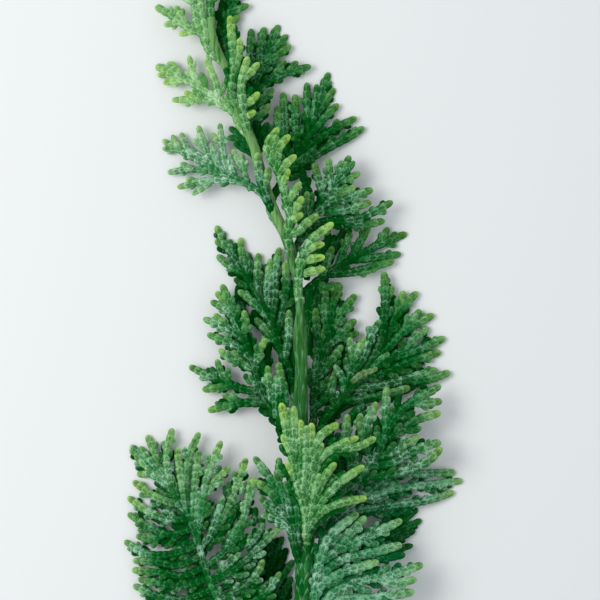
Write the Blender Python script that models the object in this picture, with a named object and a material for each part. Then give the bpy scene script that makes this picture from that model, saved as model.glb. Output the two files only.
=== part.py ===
"""A cut branch of cypress, lying on a surface with its growing tip towards +Y.

The branch is flat: its side sprays alternate left and right of one stem, and a few stand up
off it. A spray is a rachis with side shoots, all on one gently curved sheet, and a shoot is a
flattened, blunt-ended rod of fused scale leaves.

Places along the branch are in millimetres on a layout whose x = 0 is the stem's lower end and
whose y runs up the branch. The origin of the finished part is under the middle of the outline.
"""

import bmesh
import bpy
from mathutils import Vector

MM = 0.001

# Where the part's origin lies on the layout
LAYOUT_X = -3.0
LAYOUT_Y = 61.6

# A shoot's thickness as a share of its width
FLATNESS = 0.55

# Shares of a shoot's width at its two ends, and between them on a side shoot, which stands
# wider there for the lobes along it
BASE_SHARE = 0.8
MIDDLE_SHARE = 1.25
TIP_SHARE = 0.6

# The stem's line: x, y and height of its middle, and its diameter
STEM = [
    (0.0, -40.0, 8.6, 4.6),
    (-0.6, -25.0, 8.9, 4.6),
    (-0.5, -10.0, 9.0, 4.5),
    (-0.3, 0.0, 9.0, 4.4),
    (0.0, 10.0, 9.0, 4.2),
    (0.0, 20.0, 9.0, 4.0),
    (-0.6, 34.0, 9.0, 3.6),
    (-1.0, 45.0, 9.0, 3.3),
    (-1.1, 52.0, 9.0, 3.2),
    (-0.8, 60.0, 9.0, 3.2),
    (-1.1, 66.0, 8.8, 3.2),
    (-1.5, 76.0, 8.4, 2.5),
    (-1.8, 80.0, 8.3, 2.4),
    (-3.0, 84.0, 8.0, 2.4),
    (-3.8, 88.0, 7.8, 2.5),
    (-5.2, 92.0, 7.5, 2.6),
    (-7.5, 96.5, 7.2, 2.6),
    (-9.8, 103.0, 6.9, 2.4),
    (-11.6, 109.0, 6.7, 2.4),
    (-13.0, 114.0, 6.5, 2.4),
    (-16.5, 122.0, 6.2, 2.2),
    (-18.3, 129.0, 6.0, 2.1),
    (-19.6, 133.0, 5.8, 2.0),
    (-22.0, 137.6, 5.5, 2.0),
    (-23.4, 142.0, 5.1, 2.0),
    (-23.6, 146.0, 4.8, 1.9),
]

# Each spray: the heights of its sheet at the joint, half way and at the tip of the rachis, how
# much the sheet climbs per millimetre towards the rachis's right, the width of its shoots, its
# shade of green, and its shoots. The first shoot is the rachis, and the others leave it or one
# another.
SPRAYS = {
    "left_spray_1": dict(
        heights=(9.0, 4.8, 0.2), tilt=0.13, width=1.7, shade="deep",
        shoots=[
            [(-3.8, -23.6), (-8, -18), (-14, -12), (-18.5, -6), (-22, 0), (-25.2, 8), (-27.2, 15),
             (-28.6, 19), (-32, 25), (-37, 31), (-40.6, 33.6), (-44.1, 37.5)],
            [(-32, 25), (-35.5, 30.5), (-37.2, 34.6), (-39.8, 40.9)],
            [(-30.9, 23), (-33.7, 29), (-34.9, 35), (-33.4, 42.7)],
            [(-29.8, 21), (-31.2, 30), (-32.2, 37.8)],
            [(-28.8, 19.5), (-29.8, 27.5), (-29.3, 35), (-26.6, 41.7)],
            [(-28.2, 17.5), (-27.8, 27), (-26.7, 37.2)],
            [(-27.2, 15), (-25.8, 23), (-24.6, 30.8), (-21, 39.6)],
            [(-25.4, 25.5), (-22.2, 30), (-18.8, 33)],
            [(-26.6, 12.5), (-22, 18), (-19.3, 23), (-17.2, 28.6), (-14.7, 35.3)],
            [(-25.2, 8), (-20, 12), (-16.5, 16.5), (-14.5, 24), (-13.4, 30.3)],
            [(-23.6, 4), (-17, 8), (-11, 13.7), (-6, 18.3)],
            [(-22, 0), (-16, 2.5), (-12, 6.5), (-10.4, 10)],
            [(-37, 31), (-42.4, 31.1)],
            [(-31, 23.4), (-35, 24.4), (-38.8, 26.1), (-43.4, 29.3)],
            [(-29.2, 20), (-34.5, 19.9), (-39.7, 21.9), (-44.7, 25.3)],
            [(-28.2, 17.5), (-34, 16), (-38.8, 17.5), (-44.7, 21.1)],
            [(-35, 16.2), (-38.5, 14.6), (-42.6, 15.6)],
            [(-26.8, 13.4), (-33, 11.2), (-39.7, 11), (-45.5, 14.2)],
            [(-26, 10.6), (-32, 8.3), (-37, 9), (-43.4, 9.3)],
            [(-25.2, 8), (-31, 5.6), (-36, 6.4), (-43.6, 6.9)],
            [(-24, 5), (-32, 3.2), (-42, 4.7)],
            [(-23, 2.5), (-30, -0.2), (-36, 0.1), (-43.3, 3.1)],
            [(-22, 0), (-29, -4.2), (-35, -3.6), (-40.6, -1.6)],
            [(-19.6, -4), (-26, -8.2), (-32, -7.8), (-37.4, -5.8)],
            [(-16.5, -8.6), (-22, -12.4), (-28.6, -12.2), (-33.4, -10.6)],
            [(-12, -14), (-17, -17), (-23.4, -16.6), (-27.4, -15)],
            [(-18.5, -6), (-13.5, -5), (-9.6, -1.6)],
            [(-14, -12), (-9.4, -11.4), (-6.2, -8)],
        ],
    ),
    "left_spray_2": dict(
        heights=(6.0, 2.4, 0.2), tilt=0.0, width=1.7, shade="dark",
        shoots=[
            [(-3.4, -14), (-5.5, -8), (-7.8, -1), (-8.9, 5), (-7.8, 10.6), (-5.6, 15.3)],
            [(-8.2, 1), (-5.6, 5.4), (-2.9, 9.4)],
            [(-7, -3.4), (-5.2, 1.2), (-3.3, 5.3)],
            [(-8.9, 5), (-10.6, 9.6), (-11.6, 13.4)],
            [(-8.2, 9.4), (-8.9, 13), (-8.6, 16.4)],
        ],
    ),
    "left_spray_3": dict(
        heights=(12.2, 12.8, 12.4), tilt=0.0, width=1.8, shade="mid",
        shoots=[
            [(-2.9, 15), (-4.2, 20.5), (-6, 24.6), (-8.5, 30.4), (-12.7, 36)],
            [(-6, 24.6), (-6.7, 30), (-6.4, 35.8)],
            [(-5.2, 22.6), (-9, 27.7), (-13.5, 30.3)],
            [(-4.2, 20.5), (-7.4, 22.6), (-10.6, 24.4)],
        ],
    ),
    "left_spray_4": dict(
        heights=(7.6, 5.6, 4.4), tilt=0.22, width=1.8, shade="deep",
        shoots=[
            [(-3.5, 36.6), (-5, 40.8), (-7.8, 46.2), (-9.8, 49.6), (-11.4, 53.4), (-12.6, 57.3),
             (-14, 62), (-17, 70), (-20.9, 78.9)],
            [(-9.4, 48.9), (-15.3, 49.2), (-19, 48.6), (-24.4, 47.1)],
            [(-15.6, 49.2), (-18.4, 50.2), (-20.8, 51.2)],
            [(-11, 52.4), (-14.6, 52.4), (-19, 53.9), (-23.7, 55.7), (-29.2, 58.3)],
            [(-18, 53.5), (-22, 52.9), (-25.8, 52.4)],
            [(-18.6, 53.7), (-20.9, 56.4), (-22.2, 60.1)],
            [(-12.6, 57.3), (-15.6, 59.2), (-18.1, 62.3)],
            [(-15.6, 59.2), (-18.8, 60.3), (-21.6, 62.6)],
            [(-13.4, 60), (-17.4, 63.6), (-24.6, 66.4)],
            [(-14.8, 64.4), (-19, 67.8), (-25.6, 70.3)],
            [(-19, 67.8), (-22.8, 71.4)],
            [(-16.6, 69), (-19.6, 72.4), (-23.7, 74.7)],
            [(-18, 72), (-20.4, 75), (-22.4, 77)],
            [(-15.6, 66.4), (-14.9, 69.4), (-15.3, 72.4)],
            [(-12.4, 57), (-12, 61), (-9.8, 65.4)],
            [(-5.8, 42.6), (-6.1, 47), (-5.6, 53), (-6.7, 59.3)],
            [(-8.2, 46.8), (-8.8, 52), (-9.4, 58.5)],
        ],
    ),
    "left_spray_5": dict(
        heights=(6.0, 2.4, 0.2), tilt=0.0, width=1.8, shade="dark",
        shoots=[
            [(-3.4, 53), (-4.2, 58), (-6, 62), (-8, 68), (-12, 76.6), (-15.5, 82), (-18, 86),
             (-20.5, 89.5), (-22.4, 93.7)],
            [(-19.4, 87.8), (-22.6, 90.1)],
            [(-15.3, 81.6), (-19, 83.6), (-22.2, 86.3)],
            [(-15, 81.2), (-15.9, 86), (-16.3, 90.7)],
            [(-11, 74.4), (-12, 80), (-11.7, 86.8)],
            [(-9.6, 71.6), (-9.5, 79), (-8.6, 85.4)],
            [(-8.4, 69), (-7.5, 76), (-7.4, 83), (-6.4, 88.2)],
            [(-7.2, 65.6), (-5.4, 73), (-4.7, 79), (-5, 84.6)],
            [(-9.2, 70.6), (-13, 74.4), (-16.8, 77.4)],
            [(-5, 60), (-4.1, 66), (-4, 72.5)],
            [(-6.4, 63.4), (-9.8, 67.4), (-12.6, 70.4)],
        ],
    ),
    "left_spray_6": dict(
        heights=(6.6, 4.2, 0.2), tilt=0.05, width=1.7, shade="mid",
        shoots=[
            [(-9.9, 95.4), (-10.4, 98.4), (-12.4, 101.2), (-15.3, 103.9), (-18.4, 105.6),
             (-22.6, 108.3), (-28, 110.8), (-33.7, 113.9), (-35.9, 115.4)],
            [(-31.6, 112.8), (-32.7, 114.8), (-33.5, 116.6)],
            [(-32, 113), (-35.9, 113.2)],
            [(-27.4, 110.5), (-29.5, 112.8), (-31.3, 117.2)],
            [(-22.6, 108.3), (-24.5, 111.6), (-26.9, 118.9)],
            [(-24.9, 112.9), (-28.2, 115.4)],
            [(-18.8, 105.8), (-20, 109), (-20.7, 113), (-21.4, 119.4)],
            [(-20.8, 113.4), (-23.5, 117)],
            [(-13.6, 102.4), (-15, 106), (-15.9, 111.7)],
            [(-15.3, 107), (-18.2, 112.8)],
            [(-18.4, 105.6), (-21.6, 107), (-25.3, 107.7), (-29.5, 107.9), (-34.6, 107.1)],
            [(-28, 107.8), (-31.4, 109.5)],
            [(-15.3, 103.9), (-19, 104.5), (-25.3, 104.4), (-32.1, 103.1)],
            [(-25.6, 104.4), (-29.9, 105.6)],
            [(-23.6, 104.4), (-28.4, 101.5)],
        ],
    ),
    "left_spray_7": dict(
        heights=(5.8, 5.0, 4.4), tilt=0.0, width=1.7, shade="dark",
        shoots=[
            [(-15.6, 114.2), (-16.6, 116.4), (-19, 118.4)],
            [(-16.2, 115.4), (-17.6, 115.6), (-19.4, 115.8)],
        ],
    ),
    "left_spray_8": dict(
        heights=(6.0, 4.0, 0.2), tilt=0.05, width=1.8, shade="light",
        shoots=[
            [(-18.4, 120.8), (-21, 124.2), (-25, 127.5), (-29, 129.8), (-33, 132), (-37.7, 133.8)],
            [(-20.6, 123.8), (-21.8, 126.6), (-22.6, 130), (-24.9, 135.6)],
            [(-25.8, 128), (-27.9, 131.4), (-29.2, 136.5)],
            [(-31, 131), (-33.9, 135.1)],
            [(-32.4, 131.6), (-37.2, 131.7)],
            [(-30.2, 130.5), (-35.7, 129.7)],
            [(-20.2, 123.2), (-22.6, 124), (-27, 124.7), (-33.5, 125.3)],
            [(-26, 124.6), (-30.3, 127.4)],
        ],
    ),
    "left_spray_9": dict(
        heights=(5.2, 4.2, 1.2), tilt=0.05, width=1.9, shade="light",
        shoots=[
            [(-24.8, 139), (-26, 143), (-27.5, 147), (-28.5, 152), (-29.8, 157.6)],
            [(-25.7, 142), (-28, 143), (-31, 145), (-37.7, 148.8)],
            [(-30, 144.4), (-32.5, 148.9)],
            [(-31, 145), (-35.4, 144)],
            [(-27.2, 142.7), (-31.6, 141.6)],
            [(-28, 149.6), (-31.5, 152), (-35.4, 154.6)],
            [(-27.6, 147.4), (-31.5, 149.2)],
        ],
    ),
    "leader_spray": dict(
        heights=(4.8, 4.6, 3.4), tilt=0.0, width=2.0, shade="light",
        shoots=[
            [(-23.7, 147), (-23.7, 151), (-23.8, 156), (-23.4, 163)],
            [(-23.7, 150), (-25.9, 153.6), (-26.9, 158.4)],
            [(-23.8, 153), (-21.6, 156.6), (-20.6, 160.6)],
        ],
    ),
    "right_spray_1": dict(
        heights=(5.8, 2.8, 0.2), tilt=0.0, width=1.7, shade="dark",
        shoots=[
            [(3.4, 0.6), (7, 5), (12, 9.4), (19, 15.2), (24.6, 19.4), (28.4, 22.3)],
            [(18.4, 14.8), (24, 16.9), (29.4, 19.5)],
            [(15.6, 12.4), (22, 14.4), (27.8, 16.9)],
            [(12.6, 9.9), (20, 11.4), (27.2, 13.2)],
            [(16, 12.8), (19.3, 18), (22, 21.6)],
            [(11, 8.5), (12.2, 13.4), (14.6, 18)],
        ],
    ),
    "right_spray_2": dict(
        heights=(12.4, 11.0, 8.6), tilt=0.0, width=2.0, shade="blue",
        shoots=[
            [(1.6, -8), (2.3, 0), (3.1, 6.7), (4.3, 12.2), (6.9, 16.9), (13.3, 21.8)],
            [(3.6, 9.4), (7.8, 12.3), (10.6, 15.7), (15.2, 20.9)],
            [(8.2, 12.6), (15.1, 15.6), (24.2, 20)],
            [(3, 5.6), (9, 10.1), (15.1, 11.6), (24.2, 13.9)],
            [(2.5, 1.6), (4.9, 4.8), (9.6, 7.2), (18.4, 9.8)],
            [(1.9, -4.6), (5, -0.4), (8.4, 3.1), (15.1, 5.3), (20.7, 6.3), (29.4, 9)],
            [(18, 5.8), (22, 4.4), (27.8, 5.4)],
            [(4.2, -1.6), (9.6, 0.4), (17.9, 0.9), (27.2, 2.3)],
            [(1.8, -6), (8, -4), (15, -3.4), (21.6, -2.6)],
            [(7.4, -4.2), (12, -7.4), (17.4, -7.6)],
        ],
    ),
    "right_spray_3": dict(
        heights=(6.4, 4.0, 0.2), tilt=0.0, width=1.7, shade="dark",
        shoots=[
            [(3.3, 16.8), (8, 20.6), (15.9, 27.2), (22, 31), (29, 31.3), (38, 31.5)],
            [(13, 24.8), (21.8, 27.4), (29, 28.3), (39.7, 29.4)],
            [(9, 21.4), (15.9, 22.6), (23.4, 23.6), (30.4, 24.4), (37.6, 26.5)],
            [(19, 29.2), (24.4, 33.6)],
        ],
    ),
    "right_spray_4": dict(
        heights=(9.6, 10.4, 8.4), tilt=-0.05, width=2.0, shade="blue",
        shoots=[
            [(3.2, 22.6), (7, 25.5), (14, 31), (18.1, 36.7), (20.3, 42.2), (20.2, 47), (20.4, 53.3)],
            [(16.4, 34.3), (15.2, 39), (15.3, 43.6), (17.9, 49.5)],
            [(15.1, 40.4), (13.7, 43.6), (13.9, 46.7)],
            [(12.6, 29.9), (11, 35.6), (10.2, 41), (10.6, 46.5)],
            [(20, 41.4), (22.2, 45), (25, 48.2), (29.2, 50.9), (34, 53.6)],
            [(27, 49.4), (30.6, 49.2), (34.3, 49.7)],
            [(19.4, 39.8), (23.6, 42), (27.8, 45), (33.9, 46.8)],
            [(17.6, 36), (21.7, 37), (25, 39), (28.4, 41)],
            [(16, 33.6), (21.6, 34.4), (27.8, 37.7), (34, 39.5)],
            [(13.6, 30.7), (22, 31.7), (29.6, 34.2), (34.2, 38)],
        ],
    ),
    "right_spray_5": dict(
        heights=(7.4, 4.6, 2.2), tilt=-0.12, width=1.9, shade="deep",
        shoots=[
            [(2.2, 39.4), (5, 45), (9.5, 50.5), (15, 57), (18.9, 64), (19.9, 70.5), (20.2, 77.2),
             (19.9, 82.1)],
            [(20, 73.8), (22.2, 78.6)],
            [(17.4, 61.2), (21, 66.5), (23.3, 72.6), (25, 77.3)],
            [(22.5, 70.2), (25, 73.6), (28.4, 77)],
            [(16.4, 59.4), (21.5, 63.5), (25.5, 68.2), (29.2, 72.5)],
            [(23.6, 66), (28, 69), (32.5, 71.3)],
            [(15, 57), (21.5, 60.3), (26.5, 64.3), (31.1, 68.1)],
            [(21.5, 60.3), (28.5, 62.4), (35.3, 65.5)],
            [(13.2, 54.8), (19.5, 56.5), (26, 59.3), (34.2, 61.9)],
            [(11.3, 52.7), (18, 53.3), (25, 54.9), (33.3, 57.5)],
            [(24.4, 54.8), (31, 55), (36.6, 56.8)],
            [(8.8, 49.7), (14.4, 50), (20.5, 51.3), (26.4, 53)],
            [(9.4, 50.4), (11, 55), (12, 60.3), (11.2, 65.6)],
            [(11.8, 59.4), (15.1, 65.5)],
        ],
    ),
    "right_spray_6": dict(
        heights=(5.8, 3.0, 1.6), tilt=0.0, width=1.8, shade="dark",
        shoots=[
            [(1.9, 43.6), (2.5, 53), (5, 62), (8, 70), (12.8, 76.4)],
            [(6.8, 66.8), (6.9, 73.4), (9.1, 79)],
            [(5.4, 63.1), (8.7, 66), (12.8, 70.1)],
            [(8, 65.4), (10.6, 65.8), (13.6, 66.8)],
            [(2.6, 54), (3, 60.6), (5.1, 68)],
            [(2.4, 51.4), (3.7, 57), (5.8, 60.9)],
            [(2.2, 47.8), (5.5, 50.6), (6.6, 54), (8.1, 57.4)],
            [(4.6, 60.6), (3.1, 66.5), (2.7, 73)],
            [(6.2, 65.4), (4.9, 71.2), (5.4, 77.4)],
            [(3, 55), (6.6, 59.6), (9.4, 63.6)],
        ],
    ),
    "right_spray_7": dict(
        heights=(6.8, 3.4, 0.2), tilt=0.0, width=1.8, shade="deep",
        shoots=[
            [(0.8, 77.8), (5, 81.2), (10, 84.2), (14.4, 86.5), (18, 88.6), (25.7, 91.8)],
            [(16.6, 87.8), (19.2, 90), (21, 93.3)],
            [(11.3, 84.9), (13.6, 89.2), (16.2, 93.6)],
            [(8, 83), (9.7, 87.5), (11.6, 92.1)],
            [(11.6, 85), (18.6, 85.8), (24.2, 86.6)],
            [(5.6, 81.5), (9.6, 81.7), (14.7, 82.7), (22.4, 84.8)],
            [(9.2, 81.6), (13.4, 80.4), (18.2, 81.6)],
            [(4.4, 80.8), (5.6, 85), (7, 88.4)],
            [(3, 79.4), (6, 78.2), (9.2, 78.9)],
        ],
    ),
    "right_spray_8": dict(
        heights=(6.3, 6.2, 5.2), tilt=-0.05, width=1.8, shade="deep",
        shoots=[
            [(-2.1, 88.5), (1, 93.5), (4, 99), (7.5, 104), (11.3, 111.2)],
            [(4.8, 100.2), (3.5, 104.5), (2.3, 109.3)],
            [(6.8, 103), (6.2, 107), (5.9, 110.6)],
            [(8, 104.8), (10.8, 105.4), (13.8, 107)],
            [(6.4, 102.4), (9.5, 102.4), (12.6, 103.2)],
            [(4, 99), (9, 99.8), (13, 101.4), (17, 102.7)],
            [(2.8, 96.9), (9, 97.3), (13, 98.4), (16.6, 99.6)],
            [(1.4, 94.2), (7, 94.8), (12.5, 95.2), (16, 96.4), (22, 99.7)],
            [(9, 94.9), (13.4, 93.7), (20, 94.9)],
            [(0.8, 93.2), (0.2, 97.6), (0.6, 102.2)],
        ],
    ),
    "right_spray_9": dict(
        heights=(5.0, 2.6, 0.2), tilt=-0.02, width=1.8, shade="deep",
        shoots=[
            [(-7.4, 102), (-4.4, 106.5), (-1, 111), (1.5, 118), (4, 126), (6, 132.4)],
            [(-3.8, 107.4), (1.5, 110.7), (7, 113.9), (11, 116), (14.9, 118.5)],
            [(-0.8, 111.6), (4, 115.9), (8.5, 118.7), (13, 121)],
            [(0.8, 116), (4.5, 120.4), (8.4, 124.4)],
            [(2.2, 120.4), (4.9, 124.4), (7.4, 128.4)],
            [(1.2, 117), (0.6, 123), (0.5, 129.8)],
            [(-1.4, 110.5), (-2.2, 118), (-2.5, 126.8)],
            [(-3, 108.4), (-4.9, 115), (-5.2, 121), (-5.5, 127.3)],
            [(-4.5, 113.4), (-6.8, 118.5), (-6.8, 123.9)],
            [(-4.9, 105.8), (-7.4, 110.6), (-8.6, 116)],
        ],
    ),
    "right_spray_10": dict(
        heights=(4.6, 2.8, 0.2), tilt=0.0, width=1.8, shade="deep",
        shoots=[
            [(-14.3, 119.6), (-13.3, 125), (-12.3, 130), (-9.5, 137), (-6.6, 144.4)],
            [(-12.6, 128.6), (-13.7, 134), (-13.8, 138), (-13.5, 143.4)],
            [(-11.1, 133), (-11.3, 138.5), (-10.2, 143.8)],
            [(-9.4, 137.2), (-6.3, 139.9), (-4.4, 141.9)],
            [(-10.6, 134.2), (-7, 136.6), (-3.6, 139.2)],
            [(-13.2, 125.5), (-10, 129.2), (-7, 131.3), (-2, 132.9), (1.5, 133.9)],
            [(-8.4, 130.4), (-5, 135.5)],
            [(-4.6, 132.1), (-1.9, 135.1)],
            [(-13.7, 123), (-10.5, 125.3), (-8, 128.2)],
            [(-14.1, 120.8), (-11, 121.7), (-8.9, 124.2)],
        ],
    ),
    "right_spray_11": dict(
        heights=(4.2, 2.2, 1.0), tilt=0.0, width=1.9, shade="dark",
        shoots=[
            [(-17.6, 132.4), (-19.4, 137.6), (-20, 142), (-19.3, 146), (-17.6, 151), (-16, 156.6)],
            [(-19.9, 140.6), (-17.6, 144.6)],
            [(-19.6, 144), (-16.5, 146.6)],
            [(-18.7, 147.4), (-14.6, 149)],
            [(-17.4, 151.4), (-13.6, 153.8)],
            [(-18.4, 148.8), (-19.9, 153.4), (-20, 157.4)],
        ],
    ),
    "front_spray_1": dict(
        heights=(12.4, 15.6, 18.6), tilt=0.0, width=2.1, shade="light",
        shoots=[
            [(0.3, 16.4), (0.2, 22), (-2, 30), (-3.5, 38), (-5.9, 49.6)],
            [(-2.7, 33.6), (-2.6, 41), (-2.8, 48.8)],
            [(-1.4, 28), (-0.8, 36), (-1.2, 45.4)],
            [(-0.4, 24), (0.8, 33), (1.5, 39), (1.6, 44.6)],
            [(1.2, 36.4), (4, 41.6), (8.2, 44.4)],
            [(0.1, 22.4), (1.6, 29), (3.6, 35.4), (8, 38.8), (13.2, 41)],
            [(7, 38), (13, 38.7), (17.5, 40.9)],
            [(0.3, 20), (2.7, 26), (4.7, 30.8), (7.6, 34.7)],
            [(0.6, 18.8), (4, 24.8), (9, 30), (14.6, 33.9)],
            [(0.8, 18.2), (4, 22.3), (9, 24.6), (15.3, 25.9)],
            [(-2.3, 31), (-4.6, 35)],
            [(-3.3, 37), (-5.6, 41.8)],
        ],
    ),
    "front_spray_2": dict(
        heights=(10.4, 12.4, 14.0), tilt=0.0, width=2.2, shade="light",
        shoots=[
            [(-1.8, 79), (-0.9, 84), (0.5, 87.8), (2.4, 90.6), (7, 94.1)],
            [(0.2, 87), (2.3, 88.4), (4.8, 89)],
            [(-0.7, 84.8), (2, 85.3), (4.9, 85.7)],
            [(-1.3, 81.4), (1.5, 82), (5, 82.9)],
        ],
    ),
    "front_spray_3": dict(
        heights=(10.2, 13.4, 13.2), tilt=0.0, width=2.2, shade="light",
        shoots=[
            [(-4.3, 90.4), (-3.5, 95), (-4.5, 99.4), (-5.4, 103.3), (-6.9, 107.5), (-8.9, 111),
             (-9.1, 113.8), (-6.6, 117.8)],
            [(-4.1, 91.4), (-1.8, 92), (0.3, 94), (3.2, 96.3)],
            [(-3.7, 94), (-2.4, 95.4), (-0.5, 96.4)],
            [(-3.5, 95.2), (-2.3, 97.7), (-0.6, 100.7)],
            [(-4.4, 99.2), (-2.9, 101.7), (-1.1, 104.3)],
            [(-5.6, 103.9), (-4.1, 107.6)],
            [(-6.4, 106.2), (-4.6, 108.9), (-2.2, 110.9)],
            [(-8.6, 110.4), (-6.6, 113), (-3.8, 115.9)],
        ],
    ),
    "front_spray_4": dict(
        heights=(9.0, 9.4, 9.6), tilt=0.0, width=1.9, shade="mid",
        shoots=[
            [(-9.2, 99.4), (-10.6, 103), (-11.6, 107.4), (-11.8, 111.8)],
            [(-10.4, 102.4), (-9.4, 105.4), (-9.2, 108.2)],
        ],
    ),
    "front_spray_5": dict(
        heights=(8.6, 10.6, 12.6), tilt=0.0, width=2.1, shade="light",
        shoots=[
            [(-15.2, 120.4), (-15.5, 124), (-15.9, 128), (-15.4, 131), (-14.2, 135.5)],
            [(-15.7, 130), (-13.4, 131.8), (-11.5, 134)],
            [(-15.5, 123.6), (-13.4, 124.8), (-11.4, 126.7)],
            [(-15.3, 121), (-13.9, 121.2), (-12.4, 122.2)],
        ],
    ),
    "front_spray_6": dict(
        heights=(8.2, 9.4, 10.6), tilt=0.0, width=2.1, shade="light",
        shoots=[
            [(-18.3, 126.4), (-18, 130), (-17.7, 134), (-18.1, 139), (-18.7, 145.8)],
            [(-17.8, 132), (-16.6, 136), (-16.3, 140.2)],
        ],
    ),
}

# Base colour and roughness of each shade of foliage, and of the bark
SHADES = {
    "dark": ((0.012, 0.075, 0.018), 0.55),
    "deep": ((0.022, 0.115, 0.032), 0.55),
    "mid": ((0.035, 0.160, 0.045), 0.55),
    "blue": ((0.085, 0.230, 0.120), 0.60),
    "light": ((0.110, 0.320, 0.085), 0.50),
    "bark": ((0.075, 0.190, 0.055), 0.60),
}


def material_of(shade):
    """The shade's material, made the first time it is asked for."""
    found = bpy.data.materials.get("cypress_" + shade)
    if found:
        return found
    made = bpy.data.materials.new("cypress_" + shade)
    made.use_nodes = True
    colour, roughness = SHADES[shade]
    shader = made.node_tree.nodes["Principled BSDF"]
    shader.inputs["Base Color"].default_value = (*colour, 1.0)
    shader.inputs["Roughness"].default_value = roughness
    shader.inputs["Metallic"].default_value = 0.0
    made.diffuse_color = (*colour, 1.0)
    return made


def placed(x, y, z):
    """A layout place as a point of the part, in metres."""
    return Vector(((x - LAYOUT_X) * MM, (y - LAYOUT_Y) * MM, z * MM))


def height_on(spray, x, y):
    """Height of the spray's sheet at a layout place."""
    rachis = spray["shoots"][0]
    joint, tip = Vector(rachis[0]), Vector(rachis[-1])
    along = (tip - joint).normalized()
    rightwards = Vector((along.y, -along.x))
    offset = Vector((x, y)) - joint
    share = max(0.0, offset.dot(along) / (tip - joint).length)
    low, middle, high = spray["heights"]
    droop = (
        low * (1 - share) * (1 - 2 * share)
        + middle * 4 * share * (1 - share)
        + high * share * (2 * share - 1)
    )
    return droop + spray["tilt"] * offset.dot(rightwards)


def curve_object(name, points, radii):
    """A curve through the points, with its own thickness at each."""
    data = bpy.data.curves.new(name, "CURVE")
    data.dimensions = "3D"
    data.twist_mode = "Z_UP"
    data.use_fill_caps = True
    spline = data.splines.new("POLY")
    spline.points.add(len(points) - 1)
    for spot, place, radius in zip(spline.points, points, radii):
        spot.co = (*place, 1.0)
        spot.radius = radius
    return bpy.data.objects.new(name, data)


def section_object():
    """A shoot's cross-section, one millimetre from its middle to either edge: a flat rhomb
    whose top and bottom are blunt."""
    data = bpy.data.curves.new("shoot_section", "CURVE")
    data.dimensions = "2D"
    spline = data.splines.new("POLY")
    outline = [(1, 0), (0, FLATNESS), (-1, 0), (0, -FLATNESS)]
    spline.points.add(len(outline) - 1)
    for spot, (across, up) in zip(spline.points, outline):
        spot.co = (across * MM, up * MM, 0, 1)
    spline.use_cyclic_u = True
    return bpy.data.objects.new("shoot_section", data)


def meshed(curve, collection):
    """The curve's shape as a mesh object with its caps welded on. The curve is removed."""
    name = curve.name
    graph = bpy.context.evaluated_depsgraph_get()
    mesh = bpy.data.meshes.new_from_object(curve.evaluated_get(graph))
    form = bmesh.new()
    form.from_mesh(mesh)
    bmesh.ops.remove_doubles(form, verts=form.verts, dist=1e-6)
    bmesh.ops.recalc_face_normals(form, faces=form.faces)
    form.to_mesh(mesh)
    form.free()
    made = bpy.data.objects.new(name, mesh)
    made.matrix_world = curve.matrix_world.copy()
    bpy.data.objects.remove(curve)
    made.name = name
    collection.objects.link(made)
    return made


def shoot_line(spray, places, middle_share):
    """Points and half-widths of a shoot that follows the spray's sheet, and lies on the surface
    below where the sheet would sink into it."""
    half = spray["width"] / 2
    radii = [half * middle_share] * len(places)
    radii[0] = half * BASE_SHARE
    radii[-1] = half * TIP_SHARE
    points = [
        placed(x, y, max(FLATNESS * radius, height_on(spray, x, y)))
        for (x, y), radius in zip(places, radii)
    ]
    return points, radii


def spray_curves(name, spray, section, helpers):
    """The spray's shoots as curves, the rachis first, in a collection of their own."""
    workshop = bpy.data.collections.new(name + "_shoots")
    helpers.children.link(workshop)
    curves = []
    for index, places in enumerate(spray["shoots"]):
        label = name if index == 0 else f"{name}_shoot_{index}"
        points, radii = shoot_line(spray, places, MIDDLE_SHARE if index else 1.0)
        curve = curve_object(label, points, radii)
        curve.data.bevel_mode = "OBJECT"
        curve.data.bevel_object = section
        workshop.objects.link(curve)
        curves.append(curve)
    return workshop, curves


def stem_curve(part):
    """The woody stem, round and tapering from the cut end to the leader."""
    points = [placed(x, y, z) for x, y, z, diameter in STEM]
    radii = [diameter / 2 for x, y, z, diameter in STEM]
    stem = curve_object("main_stem", points, radii)
    stem.data.bevel_depth = MM
    stem.data.bevel_resolution = 2
    part.objects.link(stem)
    return stem


def fuse(rachis, workshop):
    """Joins the side shoots to the rachis as one solid."""
    for helper in workshop.objects:
        helper.hide_render = True
        helper.display_type = "WIRE"
    fusing = rachis.modifiers.new("fused_shoots", "BOOLEAN")
    fusing.operation = "UNION"
    fusing.solver = "EXACT"
    fusing.operand_type = "COLLECTION"
    fusing.collection = workshop


def main():
    for old in list(bpy.data.objects):
        bpy.data.objects.remove(old)
    part = bpy.data.collections.new("cypress_branch")
    helpers = bpy.data.collections.new("helpers")
    helpers.hide_render = True
    for collection in (part, helpers):
        bpy.context.scene.collection.children.link(collection)
    section = section_object()
    section.hide_render = True
    helpers.objects.link(section)
    stem = stem_curve(part)
    drawn = {
        name: spray_curves(name, spray, section, helpers) for name, spray in SPRAYS.items()
    }
    bpy.context.view_layer.update()

    stem = meshed(stem, part)
    stem.data.shade_smooth()
    stem.data.materials.append(material_of("bark"))
    rachises = {}
    for name, (workshop, curves) in drawn.items():
        rachises[name] = meshed(curves[0], part)
        rachises[name].data.materials.append(material_of(SPRAYS[name]["shade"]))
        for curve in curves[1:]:
            meshed(curve, workshop)
    for name, rachis in rachises.items():
        fuse(rachis, drawn[name][0])


main()
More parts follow.
